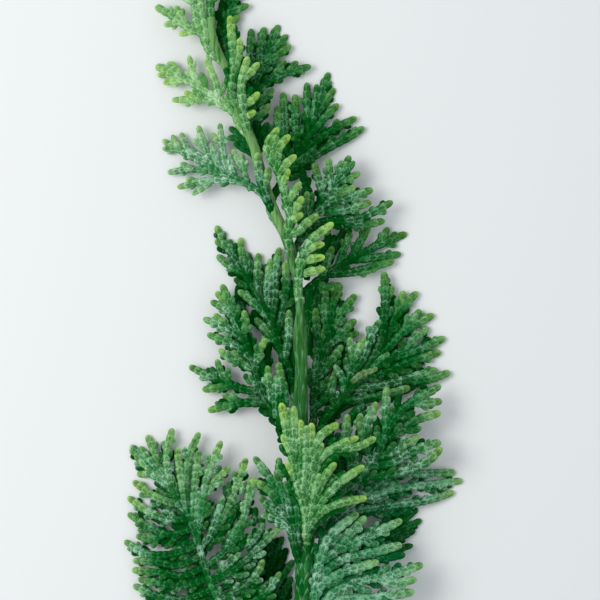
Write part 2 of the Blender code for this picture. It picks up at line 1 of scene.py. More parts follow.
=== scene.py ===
# %% [markdown]
# # A cut branch of cypress
# The branch lies flat on a pale surface. A tapering green stem carries fern-like sprays to the
# left and right, and a few lighter ones stand up off it. Each spray is a fan of flattened shoots
# about two millimetres wide, clothed in scale leaves that overlap like roof tiles.
#
# The solids of the branch come in as a fixed frame. They say where each spray lies, how high its
# sheet is and where its shoots end. Here every one of them gets its real surface.

import math

import bpy
import numpy as np
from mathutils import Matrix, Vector


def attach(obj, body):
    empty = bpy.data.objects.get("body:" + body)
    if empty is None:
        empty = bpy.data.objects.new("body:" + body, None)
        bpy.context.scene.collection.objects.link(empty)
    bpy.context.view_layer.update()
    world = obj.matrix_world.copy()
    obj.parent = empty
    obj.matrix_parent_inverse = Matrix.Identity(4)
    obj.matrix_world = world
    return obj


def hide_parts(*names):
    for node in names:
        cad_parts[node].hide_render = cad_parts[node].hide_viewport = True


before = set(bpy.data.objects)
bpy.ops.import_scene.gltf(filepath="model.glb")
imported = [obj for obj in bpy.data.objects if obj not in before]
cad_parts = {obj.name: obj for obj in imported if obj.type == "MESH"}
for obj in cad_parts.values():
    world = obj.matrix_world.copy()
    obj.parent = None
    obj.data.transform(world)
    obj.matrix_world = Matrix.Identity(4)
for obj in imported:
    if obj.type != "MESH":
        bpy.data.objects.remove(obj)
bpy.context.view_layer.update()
bpy.ops.object.select_all(action="DESELECT")
print("nodes in the frame:", len(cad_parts))

# %% [markdown]
# ## Where the shoots run
# A maker would draw the branch first: each shoot is a line through a few places, read off in
# millimetres on a layout whose x = 0 is the stem's lower end and whose y runs up the branch.
# Nearly the same places shape the solids, so what grows here ends nearly where they end.

# %% The stem's line and the shoots of each spray
MM = 0.001
LAYOUT_X = -3.0
LAYOUT_Y = 61.6

# The stem's line: x, y and height of its middle, and its diameter
STEM = [
    (0.0, -40.0, 8.6, 4.6), (-0.6, -25.0, 8.9, 4.6), (-0.5, -10.0, 9.0, 4.5), (-0.3, 0.0, 9.0, 4.4),
    (0.0, 10.0, 9.0, 4.2), (0.0, 20.0, 9.0, 4.0), (-0.6, 34.0, 9.0, 3.6), (-1.0, 45.0, 9.0, 3.3),
    (-1.1, 52.0, 9.0, 3.2), (-0.9, 59.0, 9.0, 2.7), (-1.2, 64.0, 8.9, 3.4), (-1.3, 68.0, 8.7, 3.0),
    (-1.2, 72.0, 8.6, 2.0), (-1.4, 76.0, 8.4, 1.8), (-1.7, 80.0, 8.3, 1.9), (-3.0, 84.0, 8.0, 2.4),
    (-3.8, 88.0, 7.8, 2.5), (-5.2, 92.0, 7.5, 2.6), (-7.5, 96.5, 7.2, 2.6), (-9.8, 103.0, 6.9, 2.4),
    (-11.6, 109.0, 6.7, 2.4), (-13.0, 114.0, 6.5, 2.4), (-16.5, 122.0, 6.2, 2.2),
    (-18.3, 129.0, 6.0, 2.1), (-19.6, 133.0, 5.8, 2.0), (-22.0, 137.6, 5.5, 2.0),
    (-23.4, 142.0, 5.1, 2.0), (-23.6, 146.0, 4.8, 1.9),
]


def shoots_of(drawing):
    """The shoots of a drawing. Slashes part them, and each is a row of places x,y."""
    return [[tuple(map(float, place.split(","))) for place in shoot.split()]
            for shoot in drawing.split("/") if shoot.strip()]


def drawn_spray(shade, heights, tilt, width, drawing):
    return dict(shade=shade, heights=heights, tilt=tilt, width=width, shoots=shoots_of(drawing))


# Each spray: its shade of green, the heights of its sheet at the joint, half way and at the tip of
# the rachis, how much the sheet climbs per millimetre towards the rachis's right, the width of its
# shoots, and the drawing of its shoots. The first shoot is the rachis, and the others leave it or
# one another.
SPRAYS = {
    "left_spray_1": drawn_spray("deep", (9.0, 4.8, 0.2), 0.13, 1.7, """
    -3.8,-23.6 -8,-18 -14,-12 -18.5,-6 -22,0 -25.2,8 -27.2,15 -28.6,19 -32,25 -37,31 -40.6,33.6
    -44.1,37.5 / -32,25 -35.5,30.5 -37.2,34.6 -39.8,40.9 / -30.9,23 -33.7,29 -34.9,35 -33.4,42.7 /
    -29.8,21 -31.2,30 -32.2,37.8 / -28.8,19.5 -29.8,27.5 -29.3,35 -26.6,41.7 / -28.2,17.5 -27.8,27
    -26.7,37.2 / -27.2,15 -25.8,23 -24.6,30.8 -21,39.6 / -25.4,25.5 -22.2,30 -18.8,33 / -26.6,12.5 -22,18
    -19.3,23 -17.2,28.6 -14.7,35.3 / -25.2,8 -20,12 -16.5,16.5 -14.5,24 -13.4,30.3 / -23.6,4 -17,8
    -11,13.7 -6,18.3 / -22,0 -16,2.5 -12,6.5 -10.4,10 / -37,31 -42.4,31.1 / -31,23.4 -35,24.4 -38.8,26.1
    -43.4,29.3 / -29.2,20 -34.5,19.9 -39.7,21.9 -44.7,25.3 / -28.2,17.5 -34,16 -38.8,17.5 -44.7,21.1 /
    -35,16.2 -38.5,14.6 -42.6,15.6 / -26.8,13.4 -33,11.2 -39.7,11 -45.5,14.2 / -26,10.6 -32,8.3 -37,9
    -43.4,9.3 / -25.2,8 -31,5.6 -36,6.4 -43.6,6.9 / -24,5 -32,3.2 -42,4.7 / -23,2.5 -30,-0.2 -36,0.1
    -43.3,3.1 / -22,0 -29,-4.2 -35,-3.6 -40.6,-1.6 / -19.6,-4 -26,-8.2 -32,-7.8 -37.4,-5.8 / -16.5,-8.6
    -22,-12.4 -28.6,-12.2 -33.4,-10.6 / -12,-14 -17,-17 -23.4,-16.6 -27.4,-15 / -18.5,-6 -13.5,-5
    -9.6,-1.6 / -14,-12 -9.4,-11.4 -6.2,-8"""),
    "left_spray_2": drawn_spray("dark", (6.0, 2.4, 0.2), 0.0, 1.7, """
    -3.4,-14 -5.5,-8 -7.8,-1 -8.9,5 -7.8,10.6 -5.6,15.3 / -8.2,1 -5.6,5.4 -2.9,9.4 / -7,-3.4 -5.2,1.2
    -3.3,5.3 / -8.9,5 -10.6,9.6 -11.6,13.4 / -8.2,9.4 -8.9,13 -8.6,16.4"""),
    "left_spray_3": drawn_spray("mid", (12.2, 12.8, 12.4), 0.0, 1.8, """
    -2.9,15 -4.2,20.5 -6,24.6 -8.5,30.4 -12.7,36 / -6,24.6 -6.7,30 -6.4,35.8 / -5.2,22.6 -9,27.7
    -13.5,30.3 / -4.2,20.5 -7.4,22.6 -10.6,24.4"""),
    "left_spray_4": drawn_spray("deep", (7.6, 5.6, 4.4), 0.22, 1.8, """
    -3.2,36.8 -4.1,41.2 -6.9,46.4 -9.6,49.8 -11.4,53.4 -12.6,57.3 -14,62 -17,70 -20.9,78.9 / -9.4,48.9
    -15.3,49.2 -19,48.6 -24.4,47.1 / -15.6,49.2 -18.4,50.2 -20.8,51.2 / -11,52.4 -14.6,52.4 -19,53.9
    -23.7,55.7 -29.2,58.3 / -18,53.5 -22,52.9 -25.8,52.4 / -18.6,53.7 -20.9,56.4 -22.2,60.1 / -12.6,57.3
    -15.6,59.2 -18.1,62.3 / -15.6,59.2 -18.8,60.3 -21.6,62.6 / -13.4,60 -17.4,63.6 -24.6,66.4 /
    -14.8,64.4 -19,67.8 -25.6,70.3 / -19,67.8 -22.8,71.4 / -16.6,69 -19.6,72.4 -23.7,74.7 / -18,72
    -20.4,75 -22.4,77 / -15.6,66.4 -14.9,69.4 -15.3,72.4 / -12.4,57 -12,61 -9.8,65.4 / -5.8,42.6 -6.1,47
    -5.6,53 -6.7,59.3 / -8.2,46.8 -8.8,52 -9.4,58.5"""),
    "left_spray_5": drawn_spray("dark", (6.0, 2.4, 0.2), 0.0, 1.8, """
    -3.4,53 -4.2,58 -6,62 -8,68 -12,76.6 -15.5,82 -18,86 -20.5,89.5 -22.4,93.7 / -19.4,87.8 -22.6,90.1 /
    -15.3,81.6 -19,83.6 -22.2,86.3 / -15,81.2 -15.9,86 -16.3,90.7 / -11,74.4 -12,80 -11.7,86.8 /
    -9.6,71.6 -9.5,79 -8.6,85.4 / -8.4,69 -7.5,76 -7.4,83 -6.4,88.2 / -7.2,65.6 -5.4,73 -4.7,79 -5,84.6 /
    -9.2,70.6 -13,74.4 -16.8,77.4 / -5,60 -4.1,66 -4,72.5 / -6.4,63.4 -9.8,67.4 -12.6,70.4"""),
    "left_spray_6": drawn_spray("mid", (6.6, 4.2, 0.2), 0.05, 1.7, """
    -8.5,96.4 -9.3,99.6 -11.7,102.3 -15.1,104.4 -18.4,105.8 -22.6,108.3 -28,110.8 -33.7,113.9 -35.9,115.4
    / -31.6,112.8 -32.7,114.8 -33.5,116.6 / -32,113 -35.9,113.2 / -27.4,110.5 -29.5,112.8 -31.3,117.2 /
    -22.6,108.3 -24.5,111.6 -26.9,118.9 / -24.9,112.9 -28.2,115.4 / -18.8,105.8 -20,109 -20.7,113
    -21.4,119.4 / -20.8,113.4 -23.5,117 / -13.6,102.4 -15,106 -15.9,111.7 / -15.3,107 -18.2,112.8 /
    -18.4,105.6 -21.6,107 -25.3,107.7 -29.5,107.9 -34.6,107.1 / -28,107.8 -31.4,109.5 / -15.1,104.3
    -19,105 -25.3,104.9 -32.1,103.3 / -25.6,104.4 -29.9,105.6 / -23.6,104.4 -28.4,101.5"""),
    "left_spray_7": drawn_spray("dark", (5.8, 5.0, 4.4), 0.0, 1.7, """
    -15.6,114.2 -16.6,116.4 -19,118.4 / -16.2,115.4 -17.6,115.6 -19.4,115.8"""),
    "left_spray_8": drawn_spray("light", (6.0, 4.0, 0.2), 0.05, 1.8, """
    -17.6,121.4 -20.6,124.6 -25,127.5 -29,129.8 -33,132 -37.7,133.8 / -20.6,123.8 -21.8,126.6 -22.6,130
    -24.9,135.6 / -25.8,128 -27.9,131.4 -29.2,136.5 / -31,131 -33.9,135.1 / -32.4,131.6 -37.2,131.7 /
    -30.2,130.5 -35.7,129.7 / -19.8,123.2 -23,125 -27,125.5 -33.5,125.3 / -26,124.6 -30.3,127.4"""),
    "left_spray_9": drawn_spray("light", (5.2, 4.2, 1.2), 0.05, 1.9, """
    -24.8,139 -26,143 -27.5,147 -28.5,152 -29.8,157.6 / -25.7,142 -28,143 -31,145 -37.7,148.8 / -30,144.4
    -32.5,148.9 / -31,145 -35.4,144 / -27.2,142.7 -31.6,141.6 / -28,149.6 -31.5,152 -35.4,154.6"""),
    "leader_spray": drawn_spray("light", (4.8, 4.6, 3.4), 0.0, 2.0, """
    -23.7,147 -23.7,151 -23.8,156 -23.4,163 / -23.7,150 -25.9,153.6 -26.9,158.4 / -23.8,153 -21.6,156.6
    -20.6,160.6"""),
    "right_spray_1": drawn_spray("dark", (5.8, 2.8, 0.2), 0.0, 1.7, """
    3.4,0.6 7,5 12,9.4 19,15.2 24.6,19.4 28.4,22.3 / 18.4,14.8 24,16.9 29.4,19.5 / 15.6,12.4 22,14.4
    27.8,16.9 / 12.6,9.9 20,11.4 27.2,13.2 / 16,12.8 19.3,18 22,21.6 / 11,8.5 12.2,13.4 14.6,18"""),
    "right_spray_2": drawn_spray("blue", (12.4, 11.0, 8.6), 0.0, 2.0, """
    1.6,-8 2.3,0 3.1,6.7 4.3,12.2 6.9,16.9 13.3,21.8 / 3.6,9.4 7.8,12.3 10.6,15.7 15.2,20.9 / 8.2,12.6
    15.1,15.6 24.2,20 / 3,5.6 9,10.1 15.1,11.6 24.2,13.9 / 2.5,1.6 4.9,4.8 9.6,7.2 18.4,9.8 / 1.9,-4.6
    5,-0.4 8.4,3.1 15.1,5.3 20.7,6.3 29.4,9 / 18,5.8 22,4.4 27.8,5.4 / 4.2,-1.6 9.6,0.4 17.9,0.9 27.2,2.3
    / 1.8,-6 8,-4 15,-3.4 21.6,-2.6 / 7.4,-4.2 12,-7.4 17.4,-7.6"""),
    "right_spray_3": drawn_spray("dark", (6.4, 4.0, 0.2), 0.0, 1.7, """
    3.3,16.8 8,20.6 15.9,27.2 22,31 29,31.3 38,31.5 / 13,24.8 21.8,27.4 29,28.3 39.7,29.4 / 9,21.4
    15.9,22.6 23.4,23.6 30.4,24.4 37.6,26.5 / 19,29.2 24.4,33.6"""),
    "right_spray_4": drawn_spray("blue", (9.6, 10.4, 8.4), -0.05, 2.0, """
    3.2,22.6 7,25.5 14,31 18.1,36.7 20.3,42.2 20.2,47 20.4,53.3 / 16.4,34.3 15.2,39 15.3,43.6 17.9,49.5 /
    15.1,40.4 13.7,43.6 13.9,46.7 / 12.6,29.9 11,35.6 10.2,41 10.6,46.5 / 20,41.4 22.2,45 25,48.2
    29.2,50.9 34,53.6 / 27,49.4 30.6,49.2 34.3,49.7 / 19.4,39.8 23.6,42 27.8,45 33.9,46.8 / 17.6,36
    21.7,37 25,39 28.4,41 / 16,33.6 21.6,34.4 27.8,37.7 34,39.5 / 13.6,30.7 22,31.7 29.6,34.2 34.2,38"""),
    "right_spray_5": drawn_spray("deep", (7.4, 4.6, 2.2), -0.12, 1.9, """
    2.2,39.4 5,45 9.5,50.5 15,57 18.9,64 19.9,70.5 20.2,77.2 19.9,82.1 / 20,73.8 22.2,78.6 / 17.4,61.2
    21,66.5 23.3,72.6 25,77.3 / 22.5,70.2 25,73.6 28.4,77 / 16.4,59.4 21.5,63.5 25.5,68.2 29.2,72.5 /
    23.6,66 28,69 32.5,71.3 / 15,57 21.5,60.3 26.5,64.3 31.1,68.1 / 21.5,60.3 28.5,62.4 35.3,65.5 /
    13.2,54.8 19.5,56.5 26,59.3 34.2,61.9 / 11.3,52.7 18,53.3 25,54.9 33.3,57.5 / 24.4,54.8 31,55
    36.6,56.8 / 8.8,49.7 14.4,50 20.5,51.3 26.4,53 / 9.4,50.4 11,55 12,60.3 11.2,65.6 / 11.8,59.4
    15.1,65.5"""),
    "right_spray_6": drawn_spray("dark", (5.8, 3.0, 1.6), 0.0, 1.8, """
    1.9,43.6 2.5,53 5,62 8,70 12.8,76.4 / 6.8,66.8 6.9,73.4 9.1,79 / 5.4,63.1 8.7,66 12.8,70.1 / 8,65.4
    10.6,65.8 13.6,66.8 / 2.6,54 3,60.6 5.1,68 / 2.4,51.4 3.7,57 5.8,60.9 / 2.2,47.8 5.5,50.6 6.6,54
    8.1,57.4 / 4.6,60.6 3.1,66.5 2.7,73 / 6.2,65.4 4.9,71.2 5.4,77.4 / 3,55 6.6,59.6 9.4,63.6"""),
    "right_spray_7": drawn_spray("deep", (6.8, 3.4, 0.2), 0.0, 1.8, """
    0.8,77.8 5,81.2 10,84.2 14.4,86.5 18,88.6 25.7,91.8 / 16.6,87.8 19.2,90 21,93.3 / 11.3,84.9 13.6,89.2
    16.2,93.6 / 8,83 9.7,87.5 11.6,92.1 / 11.6,85 18.6,85.8 24.2,86.6 / 5.6,81.5 9.6,81.7 14.7,82.7
    22.4,84.8 / 9,81.6 13.2,82 18.2,82.9 / 4.4,80.8 5.6,85 7,88.4 / 3,79.4 6,78.2 9.2,78.9"""),
    "right_spray_8": drawn_spray("deep", (6.3, 6.2, 5.2), -0.05, 1.8, """
    -2.1,88.5 1,93.5 4,99 7.5,104 11.3,111.2 / 4.8,100.2 3.5,104.5 2.3,109.3 / 6.8,103 6.2,107 5.9,110.6
    / 8,104.8 10.8,105.4 13.8,107 / 6.4,102.4 9.5,102.4 12.6,103.2 / 4,99 9,99.8 13,101.4 17,102.7 /
    2.8,96.9 9,97.3 13,98.4 16.6,99.6 / 1.4,94.2 7,94.8 12.5,95.2 16,96.4 22,99.7 / 9,94.9 13.4,93.7
    20,94.9 / 0.8,93.2 0.2,97.6 0.6,102.2"""),
    "right_spray_9": drawn_spray("deep", (5.0, 2.6, 0.2), -0.02, 1.8, """
    -7.4,102 -4.4,106.5 -1,111 1.5,118 4,126 6,132.4 / -3.8,107.4 1.5,110.7 7,113.9 11,116 14.9,118.5 /
    -0.8,111.6 4,115.9 8.5,118.7 13,121 / 0.8,116 4.5,120.4 8.4,124.4 / 2.2,120.4 4.9,124.4 7.4,128.4 /
    1.2,117 0.6,123 0.5,129.8 / -1.4,110.5 -2.2,118 -2.5,126.8 / -3,108.4 -4.9,115 -5.2,121 -5.5,127.3 /
    -4.5,113.4 -6.8,118.5 -6.8,123.9 / -4.9,105.8 -7.4,110.6 -8.6,116"""),
    "right_spray_10": drawn_spray("deep", (4.6, 2.8, 0.2), 0.0, 1.8, """
    -14.3,119.6 -13.3,125 -12.3,130 -9.5,137 -6.6,144.4 / -12.6,128.6 -13.7,134 -13.8,138 -13.5,143.4 /
    -11.1,133 -11.3,138.5 -10.2,143.8 / -9.4,137.2 -6.3,139.9 -4.4,141.9 / -10.6,134.2 -7,136.6
    -3.6,139.2 / -13.2,125.5 -10,129.2 -7,131.3 -2,132.9 1.5,133.9 / -8.4,130.4 -5,135.5 / -4.6,132.1
    -1.9,135.1 / -13.7,123 -10.5,125.3 -8,128.2 / -14.1,120.8 -11,121.7 -8.9,124.2"""),
    "right_spray_11": drawn_spray("dark", (4.2, 2.2, 1.0), 0.0, 1.9, """
    -17.6,132.4 -19.4,137.6 -20,142 -19.3,146 -17.6,151 -16,156.6 / -19.9,140.6 -17.6,144.6 / -19.6,144
    -16.5,146.6 / -18.7,147.4 -14.2,149.4 / -17.4,151.4 -13.6,153.8 / -18.4,148.8 -19.9,153.4 -20,157.4"""),
    "front_spray_1": drawn_spray("light", (12.4, 15.6, 18.6), 0.0, 2.1, """
    0.3,16.4 0.2,22 -2,30 -3.5,38 -5.9,49.6 / -2.7,33.6 -2.6,41 -2.8,48.8 / -1.4,28 -0.8,36 -1.2,45.4 /
    -0.4,24 0.8,33 1.5,39 1.6,44.6 / 1.2,36.4 4,41.6 8.2,44.4 / 0.1,22.4 1.6,29 3.6,35.4 8,38.8 13.2,41 /
    7,38 13,38.7 17.5,40.9 / 0.3,20 2.7,26 4.7,30.8 7.6,34.7 / 0.6,18.8 4,24.8 9,30 14.6,33.9 / 0.8,18.2
    4,22.3 9,24.6 15.3,25.9 / -2.3,31 -4.6,35 / -3.3,37 -5.6,41.8"""),
    "front_spray_2": drawn_spray("light", (10.4, 12.4, 14.0), 0.0, 2.2, """
    -1.8,79 -0.9,84 0.5,87.8 2.4,90.6 7,94.1 / 0.2,87 2.3,88.4 4.8,89 / -0.7,84.8 2,85.3 4.9,85.7 /
    -1.3,81.4 1.5,82 5,82.9"""),
    "front_spray_3": drawn_spray("light", (10.2, 13.4, 13.2), 0.0, 2.2, """
    -4.3,90.4 -3.5,95 -4.5,99.4 -5.4,103.3 -6.9,107.5 -8.9,111 -9.1,113.8 -6.6,117.8 / -4.1,91.4 -1.8,92
    0.3,94 3.2,96.3 / -3.7,94 -2.4,95.4 -0.5,96.4 / -3.5,95.2 -2.3,97.7 -0.6,100.7 / -4.4,99.2 -2.9,101.7
    -1.1,104.3 / -5.6,103.9 -4.1,107.6 / -6.4,106.2 -4.6,108.9 -2.2,110.9 / -8.6,110.4 -6.6,113
    -3.8,115.9"""),
    "front_spray_4": drawn_spray("mid", (9.0, 9.4, 9.6), 0.0, 1.9, """
    -9.2,99.4 -10.6,103 -11.6,107.4 -11.8,111.8 / -10.4,102.4 -9.4,105.4 -9.2,108.2"""),
    "front_spray_5": drawn_spray("light", (8.6, 10.6, 12.6), 0.0, 2.1, """
    -15.2,120.4 -15.5,124 -15.9,128 -15.4,131 -14.2,135.5 / -15.7,130 -13.4,131.8 -11.5,134 / -15.5,123.6
    -13.4,124.8 -11.4,126.7 / -15.3,121 -13.9,121.2 -12.4,122.2"""),
    "front_spray_6": drawn_spray("light", (8.2, 9.4, 10.6), 0.0, 2.1, """
    -18.3,126.4 -18,130 -17.7,134 -18.1,139 -18.7,145.8 / -17.8,132 -16.6,136 -16.3,140.2"""),
}
# More shoots, which the solids leave out because they lie in or under the sheet of the others
MORE_SHOOTS = {
    "left_spray_1": """
    -20,-3 -14,-1 -9,2.4 -6.2,7 / -15.8,19 -14.4,24 -12.8,27.4 / -15.4,22 -15.8,26 -15.2,29.6 / -20,12
    -17.6,17 -15.2,20.6 -14.4,24 / -24.6,14 -22.4,20 -20.4,25.6 / -23,5 -17.4,10.4 -13,14.6 -10.2,19 /
    -34.4,28 -37.6,30.4 -40.4,31.6 / -37,31 -40.6,34.8 -43.9,38.3 / -36,30.6 -39.4,35 -41.6,38 / -30,21.4
    -32.4,26 -33.6,31 / -27.4,16 -27.2,21.6 -26.6,27""",
    "left_spray_3": """
    -3,17 -5.6,19.8 -8.6,21.2 -11,21.4 / -3.6,19.6 -6.4,22.6 -9.2,24.2 -11.2,26.2 / -2.4,12.6 -3.2,19
    -4.4,25 -4.9,30 / -2,15 -1.9,22 -2.9,29 -3.6,34.6 / -6.4,26.4 -8.6,28.4 -11,29.2 -13.4,29 / -5,24
    -5.9,28 -7.6,31.6""",
    "left_spray_4": """
    -7.4,45.4 -7.6,50 -7.4,56 / -4.6,40 -5.2,45 -5,50 -4.9,54.6 / -15.6,66 -17.6,69 -18.6,72.4""",
    "left_spray_6": """
    -16.8,104.6 -18.4,108 -19,111.6 / -22.6,108.3 -26,111 -29,113 / -20.4,107 -22.6,110.4 -23.6,114.4""",
    "left_spray_7": """
    -13.4,113 -14.8,116 -16.2,119.4 / -13.4,111.6 -15.8,113 -17.8,114.4""",
    "left_spray_8": """
    -16.4,120 -18.6,123.4 -20.2,126.4 / -17,119.6 -17.6,124 -18.8,128 / -23,131 -24,134 -24.2,137.4 /
    -32,131.6 -35,133.4 -37.6,134.2 / -31,131 -33,133 -34.6,134.9""",
    "left_spray_9": """
    -24.4,138 -25,143 -26,148 -26.6,154 / -24.8,140 -26.8,143.4 -27.6,147 -28,151 / -31,145 -34,146.8
    -37.2,149.2 / -31,144.4 -33.2,146.6 -34,148.8 / -26.4,142 -29.6,143.4 -33,146""",
    "right_spray_5": """
    12.4,57 15,61 16.6,66 19,70 / 11.3,53 15.2,56.4 18.4,60 21.2,61.6 / 10,51.6 9.4,55.4 7.4,58.6""",
    "right_spray_8": """
    8,104.8 10.6,107.6 12.4,109.8 / 7.6,104.2 8.4,107 9.2,110 / 0.2,94 1.2,98.4 1.9,102 / 2.8,96.9 6,99.6
    9.4,101.4""",
    "right_spray_9": """
    3,123 4.2,127 4.8,131 / 1.9,119 2.6,124 3,129.4 / -2,109.5 1.4,113 3.2,116""",
    "right_spray_10": """
    -13,126 -11.8,131 -9.4,135 -8.6,139 / -9.4,137.2 -8.4,140.6 -7.6,143.6""",
    "front_spray_1": """
    -1.2,28 -2,35 -3.9,43 -4.2,48.4 / -0.8,26 0,33 0.1,39 0.4,44 / 0.8,31 2.6,36 4.4,39.6 / 0.2,18 1.6,23
    2.6,28 3.6,32""",
    "front_spray_3": """
    -8.6,110 -7.4,113.6 -7.2,116 / -6.9,107.5 -6.8,110.6 -6.2,113.4""",
}
# Shoots of the lower layers, which close the sprays, darkened with painted shade
UNDER_SHOOTS = {
    "left_spray_1": """
    -21,6 -15,10.4 -11.4,16 -10.6,21 / -22,2 -15.5,5.6 -10,10 / -19,10 -15.6,14 -13,19 -12.2,24 / -23,14
    -19,19 -16.4,25 / -24.5,12 -21.4,19 -19,26 -17.6,30 / -22,0 -14.6,0.6 -9,4.4 / -26,17 -23.6,24
    -22.6,30 / -28,18 -29,25 -30.4,32 / -27,14 -32,13.6 -38,14.6 / -28,17.5 -33,18 -39,20.4 / -29,20
    -34,22.2 -39,24.4 / -25.6,9 -31,9.6 -37,10.6 / -24,5 -30,4.4 -37,5.4 / -23,2.5 -29,1.6 -36,2 / -22,0
    -28,-2.2 -35,-1.6 / -31,23.4 -34.4,27 -38,29 / -29,20 -32,25 -33,32 / -27,16 -30,21 -31.4,27 / -18,-5
    -12,-1 -8,3""",
    "left_spray_2": """
    -7.4,-2 -7.6,4 -6,9 -4.6,12.4 / -8.6,2 -7.2,7.4 -6.6,13 / -8.9,5 -8,10 -6.8,15 / -6,-5 -5,-1 -3.6,3 /
    -8.4,0 -11,5 -11.6,10 / -9.4,4 -10.4,8 -10,13""",
    "left_spray_3": """
    -2.4,18 -2.6,26 -4.4,33 / -3.4,22 -6.4,27 -8.6,30 / -3,19 -6.6,21.6 -9.8,23""",
    "left_spray_4": """
    -12.6,57.3 -13.4,62 -15.2,66 -17.6,70 / -14,62 -17,66.5 -20,69 / -9.8,49.6 -9.6,54 -10.4,58 -12,62 /
    -16,67 -19,71 -20.4,76""",
    "left_spray_5": """
    -4.2,58 -5,64 -6.2,69 -7.6,77 / -6,62 -9,66 -12,70 -14.5,76 / -3.4,60 -3.6,68 -3.2,75 -3.6,80 / -8,68
    -10.6,73 -13.6,79.5 / -9,66 -12.4,69.4 -15.8,71 -18,73 / -2.6,52.5 -3.2,57 -4.4,61.5 -6.4,66 /
    -1.6,54 -2.4,59 -3,64 / -7,66 -6.9,72 -9,79 -10,84 / -12,76.6 -14,82 -14.4,87 / -5,70 -4.9,76 -6,82 /
    -14.4,70 -16.6,74.6 -16.8,79 / -14,76 -15.6,79 -17,81.4 / -9.6,55 -9.7,60 -8.8,64.4""",
    "right_spray_2": """
    14,9.4 19,10.4 25,11.4 / 3.1,6.7 3.7,12 5.2,17.4 / 3,9 4.6,14.4 8.4,19 / 5,8 9,13 13,17.4 / 8,6.4
    13,8 18,12 / 3,1 8,4.6 14,6.6 19,8""",
    "right_spray_3": """
    12,21.8 18,22.4 24,22.9 / 9,20.4 14,21 18,22 / 10,22 16,25 22,26 28,26.6""",
    "right_spray_4": """
    7,25.5 11,31 13.4,37 13.4,43 / 14,31 19,34 24,38 / 9,28 8.4,34 8.2,42 / 18,38 21.4,41.4 25,45.6 /
    15,36 17.6,41 17.8,46 / 10.6,43 12,46.4 15,49 / 4.6,34 5.4,39 7,44""",
    "right_spray_5": """
    9.5,50.5 14,55.4 19,60 22,64 / 12,54 15.6,60 18,66 / 16,52 22,54.6 28,58 / 19,57 24,61 28,65 / 18,61
    22,66 25,71 / 4,43 8,47 13,50 18,52 / 19,51.4 24,52 28,53.6""",
    "right_spray_6": """
    3.1,64 2.2,70 1.8,76 2.6,80.4 / 1,66 2.5,74 4,80 / 1.2,61 0.9,67 0.8,73 0.9,78 / 4.5,62 5.6,68 6.4,74
    6.2,79 / 5,66 3.8,72 4.4,78 5.6,81 / 6.6,60 8.6,64 10,68.6 / 7,56 9,60 10,64 / 5,52 7.4,56 9.4,60 /
    3.6,56 4.6,60 6,65 / 2.6,48 4,53 5.6,58""",
    "right_spray_7": """
    4,81.6 6.5,86 8.6,90 10,93 / 1.5,82 3.4,86 4.8,90 / 0.4,80 1,84 2.4,88 / 3.6,84 5,88 6.2,92 / 6,84
    7,88 7.4,91.4""",
    "right_spray_8": """
    2.2,96 1.2,101 -0.2,105 -0.6,108 / 4,99 6.6,101.4 9.2,103.4 12,105 / 0,91 4,94 9,95.4 14,95.4 /
    -0.8,93 -1,98 -0.6,103 / 3,97.5 4.4,102 5.6,106""",
    "right_spray_9": """
    -4.4,106.5 -2.6,111 -0.6,116 0.4,121 1.4,126 / 1.5,118 3.4,121.8 5.8,123.6 / -7,108 -8,112 -8.6,117 /
    -5.5,109 -4,114 -3.6,118.4 / -1,111 2,113 5,114 / -3,106 -1.4,109 0,112 / -4.6,117 -4.4,121 -4,125""",
    "right_spray_10": """
    -12.6,113 -11.2,116 -9.2,119.6 / -13.6,118 -11.4,120.4 -9.2,121.8 / -12.8,115.6 -12,119 -11.4,123 /
    -11.6,112.4 -9.8,115 -8.6,117.6 / -13.3,125 -11.6,129 -10.4,134 / -13,127 -12.8,132 -12,137 /
    -12.3,130 -9.6,132.6 -7,134.4 / -14,121.6 -12,124.4 -10.6,127""",
    "right_spray_11": """
    -19.4,137.6 -21,142 -21,147 -20.4,152 / -18.6,136 -20.2,140 -20.4,145 / -20,142 -18,147 -16.6,150.5""",
    "front_spray_1": """
    0.4,18 3,24 6,29 10,32.4 / 0.2,21 2.4,28 5,34 9.4,38 / 0.6,17 5,21.6 10,23.6 / -0.6,26 0.4,34 3.6,41
    / -0.8,28 -2.6,35 -3.4,42""",
}
# One finger has dried out
DRY_SHOOTS = {"right_spray_5": "11.6,54.4 14.4,56.4 18.2,57.9"}
print("sprays:", len(SPRAYS), "drawn shoots:", sum(len(spray["shoots"]) for spray in SPRAYS.values()))

# %% [markdown]
# ## One joint of a shoot
# A shoot is a chain of joints. Each has two folded lateral leaves, which hug its edges and end in
# blunt shoulders, and a flat facial leaf above and below. Modelling the joint once and repeating
# it keeps every shoulder in its place. It starts from a circle of eight corners that is extruded
# forwards ring by ring: narrow at the base, widest at the shoulders, and then drawn in.
# It is a unit long, and one unit from its middle to either edge.

# %% A pod of rings, made with extrude and resize
def edit_all():
    """Goes into edit mode with everything selected."""
    bpy.ops.object.mode_set(mode="EDIT")
    bpy.ops.mesh.select_all(action="SELECT")


def end_edit():
    """Turns every face outwards and leaves edit mode."""
    bpy.ops.mesh.select_all(action="SELECT")
    bpy.ops.mesh.normals_make_consistent(inside=False)
    bpy.ops.object.mode_set(mode="OBJECT")


def raised(height, long, wide):
    """Extrudes what is selected upwards and resizes it."""
    bpy.ops.mesh.extrude_region_move(TRANSFORM_OT_translate={"value": (0, 0, height)})
    bpy.ops.transform.resize(value=(long, wide, 1))


